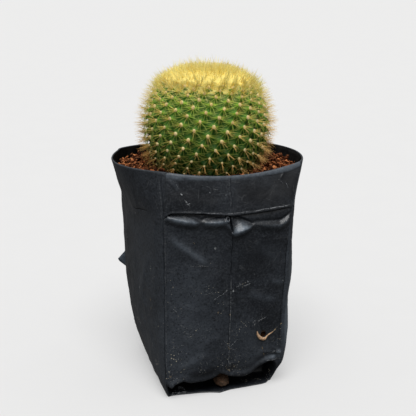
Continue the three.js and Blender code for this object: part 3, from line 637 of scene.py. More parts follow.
EARTH_LINES = [
    (0.9, 57.6, 1.5, 56.0, 0.55, 1.0), (0.2, 34.4, 1.6, 32.0, 0.55, 1.0),
    (23.9, 31.0, 24.5, 28.6, 0.55, 0.9), (24.8, 27.7, 26.2, 22.4, 0.45, 0.8),
    (30.0, 40.2, 34.6, 43.4, 0.4, 0.9), (36.4, 44.4, 38.2, 45.4, 0.35, 0.9),
    (-22.4, 106.8, -21.4, 105.6, 0.4, 0.8), (0.2, 17.4, 2.5, 15.6, 0.5, 0.8),
]
# Painted shade in a short crease on the left side
LEFT_LINES = [(-8.5, 121.2, -31.5, 125.2, 0.7, 1.0)]  # dark, with y in place of x
# Their thin strips: rows this far apart, four points across, and how far these stand out and in
RIBBON_STEP = 0.7
RIBBON_ACROSS = np.array([-1.0, -0.4, 0.4, 1.0])
RIBBON_LIFT = np.array([0.03, 0.10, 0.10, 0.03])
RIBBON_DEPTH = 0.15

# Patches on the front for each layer of marks: (x, z, x, z, width, strength). Besides dust, scuffs
# and earth, the layers hold painted sheen, painted highlights and painted shade.
FILM_LAYERS = ("scuff", "earth", "haze_and_sheen", "painted_highlight", "dust", "dim")
MARKS = {
    "dust": [(-12, 28, 16, 15, 9.0, 0.85), (9, 30, 14, 22, 4.0, 0.7), (-4, 36, 5, 32, 5.0, 0.8),
             (2, 76, 16, 76, 3.0, 0.8), (10, 54, 26, 46, 6.0, 0.7), (-20, 26, -14, 16, 5.0, 0.8)],
    "earth": [(-6, 22, 14, 15, 6.0, 0.13)],
    "haze_and_sheen": [(-24, 118, -22, 4, 15.0, 0.75), (-38, 111, -14, 90.5, 4.5, 0.8),
             (17, 104, 35, 88, 6.0, 0.3), (26, 36, 12, 20, 12.0, 0.45),
             (-32, 150, 14, 147, 2.6, 0.7), (36, 149, 54, 150, 2.0, 0.7),
             (13.5, 70, 23, 65, 2.5, 0.7), (23, 65, 32, 62.8, 2.5, 0.7)],
    "painted_highlight": [(-36.5, 110, -13.5, 92.5, 1.8, 0.24), (29, 76.5, 37, 74, 1.4, 0.16),
                  (17, 67.5, 30, 64.4, 1.2, 0.08), (26, 22.6, 38, 22.2, 1.5, 0.42),
                  (33.6, 25, 37.8, 25.4, 1.5, 0.6), (-39.6, 150, -27, 147.6, 1.4, 0.7),
                  (-27, 147, 12, 144.8, 0.8, 0.5), (8, 145.4, 26, 146.2, 1.6, 0.3),
                  (38, 148, 53, 150, 1.2, 0.5), (-37, 149, -30, 140, 1.0, 0.12),
                  (17, 103, 34, 89, 3.0, 0.07), (-30, 22, -20, 27, 3.0, 0.08),
                  (5, 117, 12, 114.5, 2.4, 0.3)],
    "dim": [(40, 128, 42, 150, 14.0, 1.0), (4, 137, 40, 131, 9.0, 0.95),
            (-38, 136, -6, 133, 6.0, 0.55), (20, 108, 22, 80, 12.0, 0.5),
            (-26, 15, -4, 17.5, 3.4, 0.95), (-30, 16, -22, 13, 2.0, 0.5),
            (4, 11.6, 18, 12.6, 1.8, 0.8), (15, 12, 27, 19.6, 2.4, 1.0),
            (24, 19.0, 37, 19.6, 1.2, 0.7)],
}
RANDOM_MARKS = 46
# Painted sheen and highlight along the rolled rim, from the same layers
ROLL_SHEEN = {"haze_and_sheen": 0.9, "painted_highlight": 0.30}  # the same layers on the rolled rim

# The fin of folded film at the back left crease
FLAP_BASE = np.array([-46.0, 44.2, 61.5])
FLAP_HEIGHT = 12.5
FLAP_REACH = 6.4
FLAP_THICKNESS = 0.7
FLAP_LEAN = 0.35
FLAP_WIDTHS = [[0, 0.06], [0.3, 0.8], [0.45, 1.0], [1, 0.05]]  # [height, share]

HOLES = [  # (side, centre [x or y, z], radii)
    (FRONT, (24.4, 39.6), (1.9, 2.0)),
    (BACK, (22.8, 39.4), (1.8, 1.8)),
    (LEFT, (23.2, 24.6), (2.7, 2.0)),
]

# Torn lip below the hole in the front: [share of its length, x, z] and its half widths
TEAR_PATH = [[0, 20.0, 42.6], [0.2, 20.8, 39.6], [0.45, 23.2, 36.8], [0.65, 25.8, 36.6],
             [0.8, 27.4, 38.6], [1, 31.2, 40.6]]
TEAR_WIDTHS = [[0, 0.2], [0.15, 0.8], [0.4, 1.2], [0.6, 0.95], [0.75, 0.45], [1, 0.15]]


def bag_rows():
    """Row heights of the outside, close together where the film is folded."""
    return np.concatenate([np.linspace(*part, endpoint=False) for part in ROWS]
                          + [np.linspace(*TOP_ROWS)])


def bag_columns():
    """Side of each column and its place along that side."""
    sides = np.repeat(range(4), SIDE_COLUMNS)
    places = [np.arange(count) / count for count in SIDE_COLUMNS]
    for side in (RIGHT, BACK, LEFT):
        places[side] = (1 - np.cos(math.pi * places[side])) / 2
    # On the front the columns are closest at the pleat
    share = np.linspace(0, 1, 400)
    crowd = 1 + PLEAT_CROWD * np.exp(-((share - PLEAT_PLACE) / PLEAT_WIDTH) ** 2)
    reached = np.concatenate([[0], np.cumsum((crowd[1:] + crowd[:-1]) / 2)])
    places[FRONT] = np.interp(places[FRONT] * reached[-1], reached, share)
    return sides, np.concatenate(places)


# The grid of the bag: a height for each row, a side and a place on it for each column
HEIGHTS = bag_rows()
COLUMN_SIDES, PLACES = bag_columns()
COLUMNS = len(PLACES)
ROLL = along(RIM_ROLL, COLUMN_SIDES + PLACES)


def only(side, values):
    return np.where(COLUMN_SIDES == side, values, 0)


def plain_rings():
    """Outside of the bag without its folds: x and y for each row and column."""
    rings = np.empty((len(HEIGHTS), COLUMNS, 2))
    for side, (start, end, bulge) in enumerate(SIDES):
        own = COLUMN_SIDES == side
        a, b = along(start, HEIGHTS)[:, None], along(end, HEIGHTS)[:, None]
        chord = b - a
        outward = unit(np.stack([chord[..., 1], -chord[..., 0]], -1))
        depth, power = along(bulge, HEIGHTS).T[:, :, None]
        share = PLACES[own]
        swell = depth * (4 * share * (1 - share)) ** power
        rings[:, own] = a + chord * share[:, None] + outward * swell[..., None]
    return rings


def front_share(fade):
    """1 on the front, fading to 0 at the creases beside it."""
    return only(FRONT, band(PLACES, 0, fade, 1 - fade, 1))


def rim_heights():
    corner = np.array(RIM_AT_CORNERS)
    dip = only(FRONT, RIM_DIP_IN_FRONT * 4 * PLACES * (1 - PLACES))
    return lerp(corner[COLUMN_SIDES], corner[COLUMN_SIDES + 1], PLACES) - dip


def folded_sheet():
    """Outside of the bag with its hem and the pocket under its collar, before its relief."""
    x, y = np.moveaxis(plain_rings(), -1, 0)
    h = HEIGHTS[:, None]
    share = front_share(0.06)
    hem = along(HEM_PATH, HEIGHTS)
    lift = band(h, *HEM_RISE, *HEM_FADE) * (straight(HEM_LINE, x) - HEM_LEVEL)
    hem_y = hem[:, :1] - straight(LIP, x) * (1 - smooth_step(1.5, 3.0, h))
    y = lerp(y, hem_y, share * (1 - smooth_step(12.0, HEM_TOP, h)))
    z = lerp(h, np.where(h < HEM_TOP, hem[:, 1:], h) + lift, share)

    pocket = along(POCKET_PATH, HEIGHTS)
    folded = (h > POCKET_PATH[0][0]) * share
    drop = band(h, *POCKET_FADES) * (straight(POCKET_LINE, x) - POCKET_LEVEL)
    y = y + pocket[:, :1] * folded
    z = z + (pocket[:, 1:] - h + drop) * folded

    up = np.clip((h - COLLAR_HEIGHT) / (RIM_HEIGHT - COLLAR_HEIGHT), 0, 1)
    z = z + up * (rim_heights() - RIM_HEIGHT) - ROLL[:, 1] * up ** 4
    return xyz(x, y, z)


def sheet_normals(sheet):
    """Normals of a sheet that closes on itself from column to column."""
    across = np.roll(sheet, -1, axis=1) - np.roll(sheet, 1, axis=1)
    return unit(np.cross(across, np.gradient(sheet, axis=0)))


def line_profile(u, z, ax, az, bx, bz, width):
    """1 on a line from a to b, falling off beside it and fading at its ends."""
    length = math.hypot(bx - ax, bz - az)
    dx, dz = (bx - ax) / length, (bz - az) / length
    run = ((u - ax) * dx + (z - az) * dz) / length
    off = np.abs((u - ax) * dz - (z - az) * dx)
    fade = np.clip(1 - (2 * run - 1) ** 2, 0, 1) ** 0.5
    if width < 0:
        return np.exp(-off / -width) * fade
    return np.exp(-(off / width) ** 2) * fade


def puff_relief(x, z):
    """How far the film under the collar stands out from the front."""
    at, *table = np.array(PUFFS, float).T
    ridge, out, valley, back = (np.interp(x, at, values) for values in table)
    below = out * (1 - smooth_step(0, PUFF_REACH, ridge - z))
    share = np.clip((z - ridge) / (valley - ridge), 0, 1)
    above = back * (1 - smooth_step(0, 2.0, z - valley))
    puff = np.where(z < ridge, below, np.where(z < valley, lerp(out, back, share), above))
    (top_x, top_z), (foot_x, foot_z) = PLEAT_SLIT
    slit = lerp(foot_x, top_x, (z - foot_z) / (top_z - foot_z))
    cut = np.exp(-((x - slit) / SLIT_WIDTH) ** 2)
    cut *= band(z, foot_z, foot_z + 1.2, top_z, top_z + 1.5)
    (loop_x, loop_z), (half_x, half_z) = PLEAT_LOOP
    loop = np.hypot((x - loop_x) / half_x, (z - loop_z) / half_z)
    ring = np.exp(-((loop - 0.8) / 0.45) ** 2)
    return puff - SLIT_DEPTH * cut + LOOP_HEIGHT * ring - 0.6 * (loop < 0.45)


def random_folds():
    random = seeded(71)
    folds = []
    for side in range(4):
        for _ in range(RANDOM_FOLDS):
            start = np.array([random.uniform(-42, 42), random.uniform(14, 140)])
            angle = random.uniform(-FOLD_SLANT, FOLD_SLANT)
            angle += math.pi / 2 if random.random() < 0.4 else 0
            reach = random.uniform(*FOLD_LENGTHS)
            end = start + reach * np.array([math.cos(angle), math.sin(angle)])
            width = random.choice(FOLD_WIDTHS)
            height = random.uniform(*FOLD_HEIGHTS) * random.choice([-1, 1])
            folds.append((side, (*start, *end, width, height)))
    return folds


def bag_relief(sheet):
    """How far each point of the film stands out from the folded sheet."""
    x, _, z = np.moveaxis(sheet, -1, 0)
    u = np.where(COLUMN_SIDES == FRONT, x, (PLACES - 0.5) * SIDE_WIDTH)
    calm = smooth_step(0, 6, z) * (1 - 0.55 * smooth_step(120, 149, z))
    relief = sum(height * noise(sheet, *kind) for height, *kind in SWELLS) * calm
    height, *kind = CRUMPLE
    crumple = 1 - np.abs(noise(sheet * [1, 1, 0.7], *kind))
    small, *kind = PUCKER
    relief += height * (crumple ** 3 - 0.35) * calm + small * noise(sheet, *kind)
    known = [(side, fold) for side in FOLDS for fold in FOLDS[side]]
    for side, (*line, height) in known + random_folds():
        relief += only(side, height * line_profile(u, z, *line))
    h = HEIGHTS[:, None]
    (clod_x, clod_z), (half_x, half_z) = CLOD_DENT
    clod = np.exp(-(((x - clod_x) / half_x) ** 2 + ((z - clod_z) / half_z) ** 2))
    clod *= smooth_step(1.6, 3.2, h) * (h < 10)
    return relief - CLOD_DENT_DEPTH * clod * front_share(0.03)


def bag_layers(sheet, puffs):
    """Marks on the film as layers between 0 and 1: dust, scuffs and earth, with painted sheen,
    highlights and shade.
    """
    x, y, z = np.moveaxis(sheet, -1, 0)
    layers = {name: np.zeros(x.shape) for name in FILM_LAYERS}

    def strengthen(name, values):
        layers[name] = np.maximum(layers[name], values)

    for name, marks in MARKS.items():
        for *line, strength in marks:
            strengthen(name, only(FRONT, strength * line_profile(x, z, *line)))
    random = seeded(5)
    for _ in range(RANDOM_MARKS):
        side = random.choice([FRONT, RIGHT, BACK, LEFT])
        start = np.array([random.uniform(-40, 40), random.uniform(8, 146)])
        end = start + random.uniform(-2.2, 2.2, 2) + [0.2, 0]
        name = random.choice(["scuff", "scuff", "scuff", "earth"])
        u = x if side in (FRONT, BACK) else y
        strength = random.uniform(0.3, 0.9)
        strengthen(name, only(side, strength * line_profile(u, z, *start, *end, 0.5)))
    # Painted highlight on the puffs under the collar, where they face the light
    layers["painted_highlight"] += 0.62 * smooth_step(0.7, 2.8, puffs)
    # Painted shade on the fold of the hem, and painted light on the sides next to the front
    under = band(HEIGHTS, 1.0, 2.4, 9.6, 10.8)[:, None] * front_share(0.04)
    strengthen("dim", under)
    layers["haze_and_sheen"] *= 1 - under
    beside = only(RIGHT, 1 - smooth_step(0.05, 0.35, PLACES))
    beside += only(LEFT, 0.45 * smooth_step(0.2, 0.7, PLACES))
    strengthen("haze_and_sheen", beside * (1 - 0.5 * smooth_step(100, 122, z)))
    # Painted light on the right side, low down next to the front
    strip = smooth_step(0, 0.05, PLACES) * band(z, 20, 34, 84, 96)
    lit_patch = band(PLACES, 0.002, 0.016, 0.2, 0.4) * band(z, 20, 34, 56, 64)
    layers["painted_highlight"] += only(RIGHT, 0.30 * strip + 0.42 * lit_patch)
    return layers


def inner_rows():
    """Rows of the outside that the inside repeats: all near a hole, and else every fourth."""
    rows = set(range(0, len(HEIGHTS), 4)) | {len(HEIGHTS) - 1}
    for _, (_, z), (_, radius) in HOLES:
        rows |= set(np.flatnonzero(np.abs(HEIGHTS - z) < radius + 2.2).tolist())
    return sorted(rows, reverse=True)


def inside_sheet(outside, normals):
    """Inner face of the film, row for row with the outside. It runs straight behind the pocket
    and the hem."""
    h = HEIGHTS[:, None]
    top = smooth_step(RIM_HEIGHT - 16, RIM_HEIGHT, h)
    inside = outside - normals * lerp(FILM, 2 * ROLL[:, 0], top ** 2)[..., None]
    x, y = np.moveaxis(plain_rings(), -1, 0)
    pocket = front_share(0.10) * band(h, *POCKET_BACK_FADES)
    inside = lerp(inside, xyz(x, y + POCKET_BACK, h), pocket[..., None])
    lift = band(h, *HEM_BACK_RISE, *HEM_FADE) * (straight(HEM_LINE, x) - HEM_LEVEL)
    hem = front_share(0.05) * (1 - smooth_step(*HEM_BACK_TOP, h))
    inside = lerp(inside, xyz(x, straight(HEM_BACK, h), h + lift), hem[..., None])
    inside[..., 2] += FLOOR_FILM * (1 - smooth_step(0, 3, h))
    return inside


def rim_rolls(outside):
    """Rings over the rolled rim, from the outside to the inside."""
    top = outside[-1]
    tangent = np.roll(top, -1, axis=0) - np.roll(top, 1, axis=0)
    inward = unit(xyz(-tangent[:, 1], tangent[:, 0], 0))
    return [top + inward * ROLL[:, :1] * (1 - math.cos(angle))
            + xyz(0, 0, ROLL[:, 1] * math.sin(angle))
            for angle in np.linspace(0, math.pi, RIM_RINGS + 2)[1:-1]]


def cut_holes(outside, inside):
    """Which cells of the film lie in a hole. Points at a hole's edge move onto its ellipse."""
    cut = np.zeros((len(HEIGHTS) - 1, COLUMNS), bool)
    middle = (outside[:-1] + outside[1:]) / 2
    middle = (middle + np.roll(middle, -1, axis=1)) / 2
    for side, centre, radii in HOLES:
        axes = [0, 2] if side in (FRONT, BACK) else [1, 2]
        off = (middle[..., axes] - centre) / radii
        own = ((off ** 2).sum(axis=-1) < 1) & (COLUMN_SIDES == side)
        # How many of the four cells around each point are in the hole
        around = np.pad(own.astype(int), ((1, 1), (0, 0)))
        around = around[1:] + around[:-1]
        around = around + np.roll(around, 1, axis=1)
        for row, column in np.argwhere((around > 0) & (around < 4)):
            for sheet in (outside, inside):
                off = (sheet[row, column, axes] - centre) / radii
                sheet[row, column, axes] = centre + radii * off / np.linalg.norm(off)
        cut |= own
    return cut


def ring_quads(ring, count):
    """Quads from one ring of points to the next, each ring closing on itself."""
    a = ring * count + np.arange(count)
    b = np.roll(a, -1)
    return np.stack([a, b, b + count, a + count], -1)


def close_ring(faces, points, ring, upward):
    """Fills the ring with two narrower rings and a middle point."""
    middle = points[ring].mean(axis=0)
    before = ring
    for share in (0.6, 0.25):
        narrower = lerp(middle, points[ring], share)
        narrower[:, 2] = middle[2]
        after = len(points) + np.arange(len(ring))
        points = np.concatenate([points, narrower])
        quads = [before, np.roll(before, -1), np.roll(after, -1), after]
        faces += np.stack(quads if upward else quads[::-1], -1).tolist()
        before = after
    fan = [before, np.roll(before, -1), np.full(len(ring), len(points))]
    faces += np.stack(fan if upward else fan[::-1], -1).tolist()
    return faces, np.concatenate([points, middle[None]])


def loft(rings, downward=False):
    """Points and faces of a closed body through rings that follow each other up or down."""
    count = len(rings[0])
    quads = np.concatenate([ring_quads(ring, count) for ring in range(len(rings) - 1)])
    if downward:
        quads = quads[:, [0, 3, 2, 1]]
    points = np.concatenate(rings)
    last = np.arange(len(points) - count, len(points))
    faces, points = close_ring(quads.tolist(), points, np.arange(count), downward)
    faces, points = close_ring(faces, points, last, not downward)
    return points, faces


def bag_mesh():
    """Points, faces and layers of the bag as one closed shell with three holes, then the grids
    of its outside and inside."""
    count = COLUMNS
    outside = folded_sheet()
    puffs = puff_relief(outside[..., 0], outside[..., 2]) * front_share(0.02)
    puffs *= band(HEIGHTS, 104, 107, 121.9, 122.6)[:, None]
    outside += sheet_normals(outside) * bag_relief(outside)[..., None]
    outside[..., 1] -= puffs
    outside[0, :, 2] = 0
    outside[..., 2] = np.maximum(outside[..., 2], 0)
    inside = inside_sheet(outside, sheet_normals(outside))
    cut = cut_holes(outside, inside)

    inner = inner_rows()
    rings = [*outside, *rim_rolls(outside), *inside[inner]]
    start_inner = len(HEIGHTS) + RIM_RINGS
    faces = []
    for ring in range(len(rings) - 1):
        keep = np.ones(count, bool)
        if ring < len(cut):
            keep = ~cut[ring]
        elif ring >= start_inner:
            upper, lower = inner[ring - start_inner], inner[ring - start_inner + 1]
            if upper - lower == 1:
                keep = ~cut[lower]
        faces += ring_quads(ring, count)[keep].tolist()
    # Walls of the holes, from the outside to the inside
    ring_of = {row: start_inner + i for i, row in enumerate(inner)}
    for row, place in np.argwhere(cut):
        before, after = (place - 1) % count, (place + 1) % count
        corners = [(row, place), (row, after), (row + 1, after), (row + 1, place)]
        beside = [(row - 1, place), (row, after), (row + 1, place), (row, before)]
        for i, cell in enumerate(beside):
            if not cut[cell]:
                (r0, c0), (r1, c1) = corners[i], corners[(i + 1) % 4]
                faces.append([r0 * count + c0, r1 * count + c1,
                              ring_of[r1] * count + c1, ring_of[r0] * count + c0])

    column = np.arange(count)
    faces, points = close_ring(faces, np.concatenate(rings), column, False)
    faces, points = close_ring(faces, points, (len(rings) - 1) * count + column, True)
    layers = {}
    for name, values in bag_layers(outside, puffs).items():
        rest = np.full(len(points) - values.size, float(name == "dim"))
        rolled = ROLL_SHEEN.get(name, 0.0) * np.where(COLUMN_SIDES == FRONT, 1, 0.25)
        rest[:RIM_RINGS * count] = np.tile(rolled, RIM_RINGS)
        layers[name] = np.concatenate([values.ravel(), rest])
    return points, faces, layers, outside, inside


def closed_strip(one, other):
    """A closed mesh between two grids of points that face away from each other."""
    rows, columns = one.shape[:2]
    shift = rows * columns
    index = np.arange(shift).reshape(rows, columns)
    a, b, c, d = index[:-1, :-1], index[:-1, 1:], index[1:, 1:], index[1:, :-1]
    border = np.concatenate([index[0], index[1:, -1], index[-1, -2::-1], index[-2:0:-1, 0]])
    after = np.roll(border, -1)
    faces = [np.stack([a, d, c, b], -1).reshape(-1, 4),
             np.stack([a, b, c, d], -1).reshape(-1, 4) + shift,
             np.stack([border, after, after + shift, border + shift], -1)]
    return np.concatenate([one.reshape(-1, 3), other.reshape(-1, 3)]), np.concatenate(faces)


def flap_mesh():
    """A stiff fin of folded film at the back left crease, slightly curled."""
    v, u = np.meshgrid(np.linspace(0, 1, 14), np.linspace(0, 1, 9), indexing="ij")
    width = straight(FLAP_WIDTHS, v)
    out = u * width * FLAP_REACH + 1.6 * u
    curl = 0.9 * u ** 2 + 0.35 * np.sin(v * 5) * u
    middle = FLAP_BASE + xyz(curl * math.sin(FLAP_LEAN) - out * math.cos(FLAP_LEAN),
                             out * math.sin(FLAP_LEAN) * 0.6 + curl, v * FLAP_HEIGHT)
    half = np.array([0.1, -FLAP_THICKNESS / 2, 0.0])
    edge = (1 - np.abs(2 * v - 1) ** 6) * (1 - 0.7 * u ** 4)
    return closed_strip(middle + half * edge[..., None], middle - half * edge[..., None])


def line_ribbons(lines, film, side):
    """Thin closed strips along lines on a side, and for each point the number of its line."""
    all_points, all_faces, numbers = [], [], []
    total = 0
    depth = 1 if side == FRONT else 0
    inward = Vector(np.eye(3)[depth])
    for number, (ax, az, bx, bz, width, _) in enumerate(lines):
        length = math.hypot(bx - ax, bz - az)
        run = np.linspace(0, 1, max(5, int(length / RIBBON_STEP)))
        line = xyz(lerp(ax, bx, run), 0, lerp(az, bz, run))
        across = np.array([-(bz - az), 0, bx - ax]) / length
        if side == LEFT:
            line, across = line[:, [1, 0, 2]], across[[1, 0, 2]] * -1
        sway = noise(line, 4.5, 200 + number) * (0.5 if 3 < length < 30 else 0.2)
        half = width / 2 * (1 - np.abs(2 * run - 1) ** 6) * (0.85 + 0.35 * noise(line, 1.3, 300))
        aside = sway[:, None] + np.maximum(half, 0.03)[:, None] * RIBBON_ACROSS
        spot = line[:, None] + across * aside[..., None]
        for place in spot.reshape(-1, 3):
            place[depth] = -SIDE_WIDTH
            hit = film.ray_cast(Vector(place), inward)[0]
            place[depth] = hit[depth] if hit else -SIDE_WIDTH / 2
        one, other = spot.copy(), spot.copy()
        one[..., depth] -= RIBBON_LIFT
        other[..., depth] += RIBBON_DEPTH
        points, faces = closed_strip(one, other)
        all_points.append(points)
        all_faces.append(faces + total)
        numbers.append(np.full(len(points), number))
        total += len(points)
    return np.concatenate(all_points), np.concatenate(all_faces), np.concatenate(numbers)


def surface_y(front, x, z):
    """Depth of the front of the film at places on it."""
    rows = np.abs(front[:, MIDDLE_COLUMN, 2] - z[..., None]).argmin(axis=-1)
    found = [np.interp(at, front[row, :, 0], front[row, :, 1])
             for row, at in zip(rows.ravel(), x.ravel())]
    return np.array(found).reshape(x.shape)


def tear_mesh(front):
    """Pale lip of film pushed out below the hole in the front."""
    v, u = np.linspace(0, 1, 40), np.linspace(-1, 1, 9)
    line = along(TEAR_PATH, v)
    tangent = unit(np.gradient(line, axis=0))
    across = np.stack([-tangent[:, 1], tangent[:, 0]], -1)
    width = straight(TEAR_WIDTHS, v)[:, None]
    spot = line[:, None] + across[:, None] * (width * u)[..., None]
    x, z = np.moveaxis(spot, -1, 0)
    ragged = 0.16 * noise(xyz(x, z, 0), 1.4, 8)
    x, z = x + ragged, z + ragged
    y = surface_y(front, x, z)
    proud = 0.3 + 0.85 * width * (1 - u ** 2) ** 0.5
    return closed_strip(xyz(x, y - proud, z), xyz(x, y + 0.3, z))


# Soil

STEM_CENTRE = np.array([-1.1, -0.7, 169.2])
SOIL_LEVEL = 143.2
SOIL_EDGE_DROP = 3.8
SOIL_RISE = 4.6
SOIL_GAP = 1.4  # to the film
SOIL_HEM = [[0, -23], [8, -23], [10, -26], [13, -34], [17, -60]]  # [z, foremost y]
GRANULE_LEVELS = ((0, 2.5, 1.0), (1, 2.8, 0.75), (2, 3.4, 0.34))  # (level, pitch, share kept)
GRANULE_FIELD = 64  # half the width of the square that they are laid out on
GRANULE_LEVEL_STEP = 1.6
GRANULE_SIZES = (0.8, 2.1)
GRANULE_WALL_GAP = 2.2
STEM_EDGE = 31  # its radius in the soil
CLOD_AT = np.array([-0.4, -34.6, 5.0])
CLOD_RADII = np.array([4.8, 6.0, 4.0])


def icosphere(subdivisions):
    """Points and triangles of a ball of radius 1."""
    ball = bmesh.new()
    bmesh.ops.create_icosphere(ball, subdivisions=subdivisions, radius=1)
    points = np.array([v.co[:] for v in ball.verts])
    faces = np.array([[v.index for v in face.verts] for face in ball.faces])
    ball.free()
    return points, faces


def random_turns(random, count):
    """Random rotation matrices."""
    w, x, y, z = unit(random.normal(size=(count, 4))).T
    return np.stack([
        xyz(1 - 2 * (y * y + z * z), 2 * (x * y - z * w), 2 * (x * z + y * w)),
        xyz(2 * (x * y + z * w), 1 - 2 * (x * x + z * z), 2 * (y * z - x * w)),
        xyz(2 * (x * z - y * w), 2 * (y * z + x * w), 1 - 2 * (x * x + y * y))], 1)


def copies(faces, size, count):
    """Faces of many copies of a template that has a size in points."""
    shift = np.arange(count) * size
    return (faces[None] + shift[:, None, None]).reshape(-1, faces.shape[1])


def soil_bed_mesh(inside):
    """The block of soil in the bag, with a rough top that rises a little to the plant."""
    rings = []
    for row in np.flatnonzero(HEIGHTS < SOIL_LEVEL - 3.5)[::3]:
        ring = inside[row, ::3].copy()
        middle = ring[:, :2].mean(axis=0)
        reach = ring[:, :2] - middle
        reach *= 1 - SOIL_GAP / np.linalg.norm(reach, axis=1, keepdims=True)
        ring[:, :2] = middle + reach
        ring[:, 1] = np.maximum(ring[:, 1], straight(SOIL_HEM, HEIGHTS[row]))
        rings.append(ring)
    rings[0][:, 2] += 0.6
    edge = rings[-1]
    middle = np.array([*STEM_CENTRE[:2], SOIL_LEVEL])
    for share in np.linspace(0, 0.97, 26)[1:]:
        ring = lerp(edge, middle, share)
        ring[:, 2] = SOIL_LEVEL - SOIL_EDGE_DROP + SOIL_RISE * share
        ring[:, 2] += 0.9 * noise(ring, 3.0, 21) + 0.5 * noise(ring, 1.4, 22)
        rings.append(ring)
    return loft(rings)


def granules_mesh(inside):
    """Loose granules on the soil between the plant and the bag, and the clod in the hem."""
    random = seeded(12)
    row = np.abs(HEIGHTS - (SOIL_LEVEL + 1)).argmin()
    wall = inside[row][:, :2] - STEM_CENTRE[:2]
    bearing = np.arctan2(wall[:, 1], wall[:, 0])
    order = np.argsort(bearing)
    reach = np.linalg.norm(wall, axis=1)[order]
    spots = []
    for level, pitch, chance in GRANULE_LEVELS:
        grid = np.arange(-GRANULE_FIELD, GRANULE_FIELD, pitch)
        spot = np.stack(np.meshgrid(grid, grid), -1).reshape(-1, 2)
        spot = spot + random.uniform(-0.5, 0.5, spot.shape) * pitch
        radius = np.linalg.norm(spot, axis=1)
        limit = np.interp(np.arctan2(spot[:, 1], spot[:, 0]), bearing[order], reach,
                          period=2 * math.pi)
        fits = (radius < limit - GRANULE_WALL_GAP) & (radius > STEM_EDGE + 0.5 + 0.6 * level)
        fits &= random.random(len(spot)) < chance
        spot, radius, limit = spot[fits], radius[fits], limit[fits]
        # Behind the plant they rise towards it, in front they lie lower
        away = smooth_step(-0.9, 0.1, spot[:, 1] / radius)
        out = np.clip((radius - STEM_EDGE) / np.maximum(limit - STEM_EDGE, 1), 0, 1)
        rise = lerp(0.2 + 3.6 * away, -0.6 - 2.4 * away, out)
        z = SOIL_LEVEL - 0.8 + GRANULE_LEVEL_STEP * level + rise
        z = z + random.uniform(-0.5, 0.6, len(spot))
        spots.append(np.column_stack([spot + STEM_CENTRE[:2], z]))
    spots = np.concatenate(spots)
    count = len(spots)
    ball, faces = icosphere(2)
    size = random.uniform(*GRANULE_SIZES, count) * random.uniform(0.8, 1.3, count)
    shape = xyz(1, random.uniform(0.35, 0.85, count), random.uniform(0.30, 0.65, count))
    body = np.broadcast_to(ball, (count, *ball.shape))
    body = body / np.abs(body).sum(axis=-1, keepdims=True) ** 0.35
    rough = 1 + 0.34 * noise(body + random.uniform(-500, 500, (count, 1, 3)), 0.7, 31)
    body = body * rough[..., None] * (shape * size[:, None])[:, None, :]
    body = np.einsum("nij,nkj->nki", random_turns(random, count), body)
    points = (body + spots[:, None]).reshape(-1, 3)
    faces = copies(faces, len(ball), count)
    tone = np.repeat(random.random(count), len(ball))
    ball, clod_faces = icosphere(4)
    clod = ball * (1 + 0.16 * noise(ball, 0.5, 41) + 0.06 * noise(ball, 0.2, 42))[:, None]
    faces = np.concatenate([faces, clod_faces + len(points)])
    points = np.concatenate([points, clod * CLOD_RADII + CLOD_AT])
    return points, faces, {"tone": np.concatenate([tone, np.full(len(clod), 0.5)])}


# Stem, areoles and spines. Angles are in radians, polar ones from the stem's tip.

STEM_RADIUS = 39.6
STEM_HALF_HEIGHT = 44.5
STEM_LEAN = (-2.6, 2.3)  # degrees about x and y
TOP_SINK = 8.5
TOP_SINK_ANGLE = 0.55
SPIRAL_ROWS = 24
SPIRAL_SHIFT = 13
STEP_AZIMUTH = math.radians(-5.0)
ROW_AZIMUTH = (2 * math.pi + SPIRAL_SHIFT * STEP_AZIMUTH) / SPIRAL_ROWS
FIRST_AZIMUTH = math.radians(-99.3)
STEP_RATE = 0.129
EQUATOR_STEP = 0.963
SOIL_ANGLE = 2.13
GROOVE_DEPTH = 3.0
ROW_GROOVE_DEPTH = 2.76
SADDLE_DEPTH = 2.1
AREOLE_SIZES = [[0.7, 0.95], [0.9, 1.14], [1.7, 1.06], [SOIL_ANGLE, 0.66]]  # [angle, radius]
AREOLE_SHAPE = (0.92, 1.08, 0.78)  # across, downhill and away from the skin
ROOT_NECK = ((13, -38.5), (9, -41.2), (5, -49.2))  # (radius, height)
STEM_COLUMNS = 384
STEM_ROWS = ((0.05, 0.6, 10), (0.6, 2.25, 170), (2.25, 2.55, 6))  # from, to, number
CROWN_EDGE = (0.66, 0.8)
SOIL_EDGE = (2.2, 2.36)
CROWN_SKIN_DEPTH = 3.0
BURIED_SKIN_DEPTH = 1.5
CROWN_CENTRE_ANGLE = 0.30
CROWN_CENTRE_TUFTS = 60
CROWN_NEEDLES = 20
CROWN_ROWS = (0.03, 0.94, 76)
CROWN_COLUMNS = 240
CROWN_RIM = (0.76, 0.85)  # where the wool goes down into the skin
CROWN_DEPTH = 2.6
CROWN_LENGTHS = [[0, 5.0], [0.15, 4.6], [0.3, 4.0], [0.6, 3.6], [0.9, 4.4]]  # [angle, length]
NEEDLE_RINGS = 3
NEEDLE_TAPER = 0.55


def stem_turn():
    a, b = np.radians(STEM_LEAN)
    about_x = np.array([[1, 0, 0], [0, math.cos(a), -math.sin(a)], [0, math.sin(a), math.cos(a)]])
    about_y = np.array([[math.cos(b), 0, math.sin(b)], [0, 1, 0], [-math.sin(b), 0, math.cos(b)]])
    return about_x @ about_y


STEM_TURN = stem_turn()


def placed_on_stem(points):
    return points @ STEM_TURN.T + STEM_CENTRE


def stem_normal(polar, azimuth):
    around = np.sin(polar) / STEM_RADIUS
    return unit(xyz(around * np.cos(azimuth), around * np.sin(azimuth),
                    np.cos(polar) / STEM_HALF_HEIGHT))


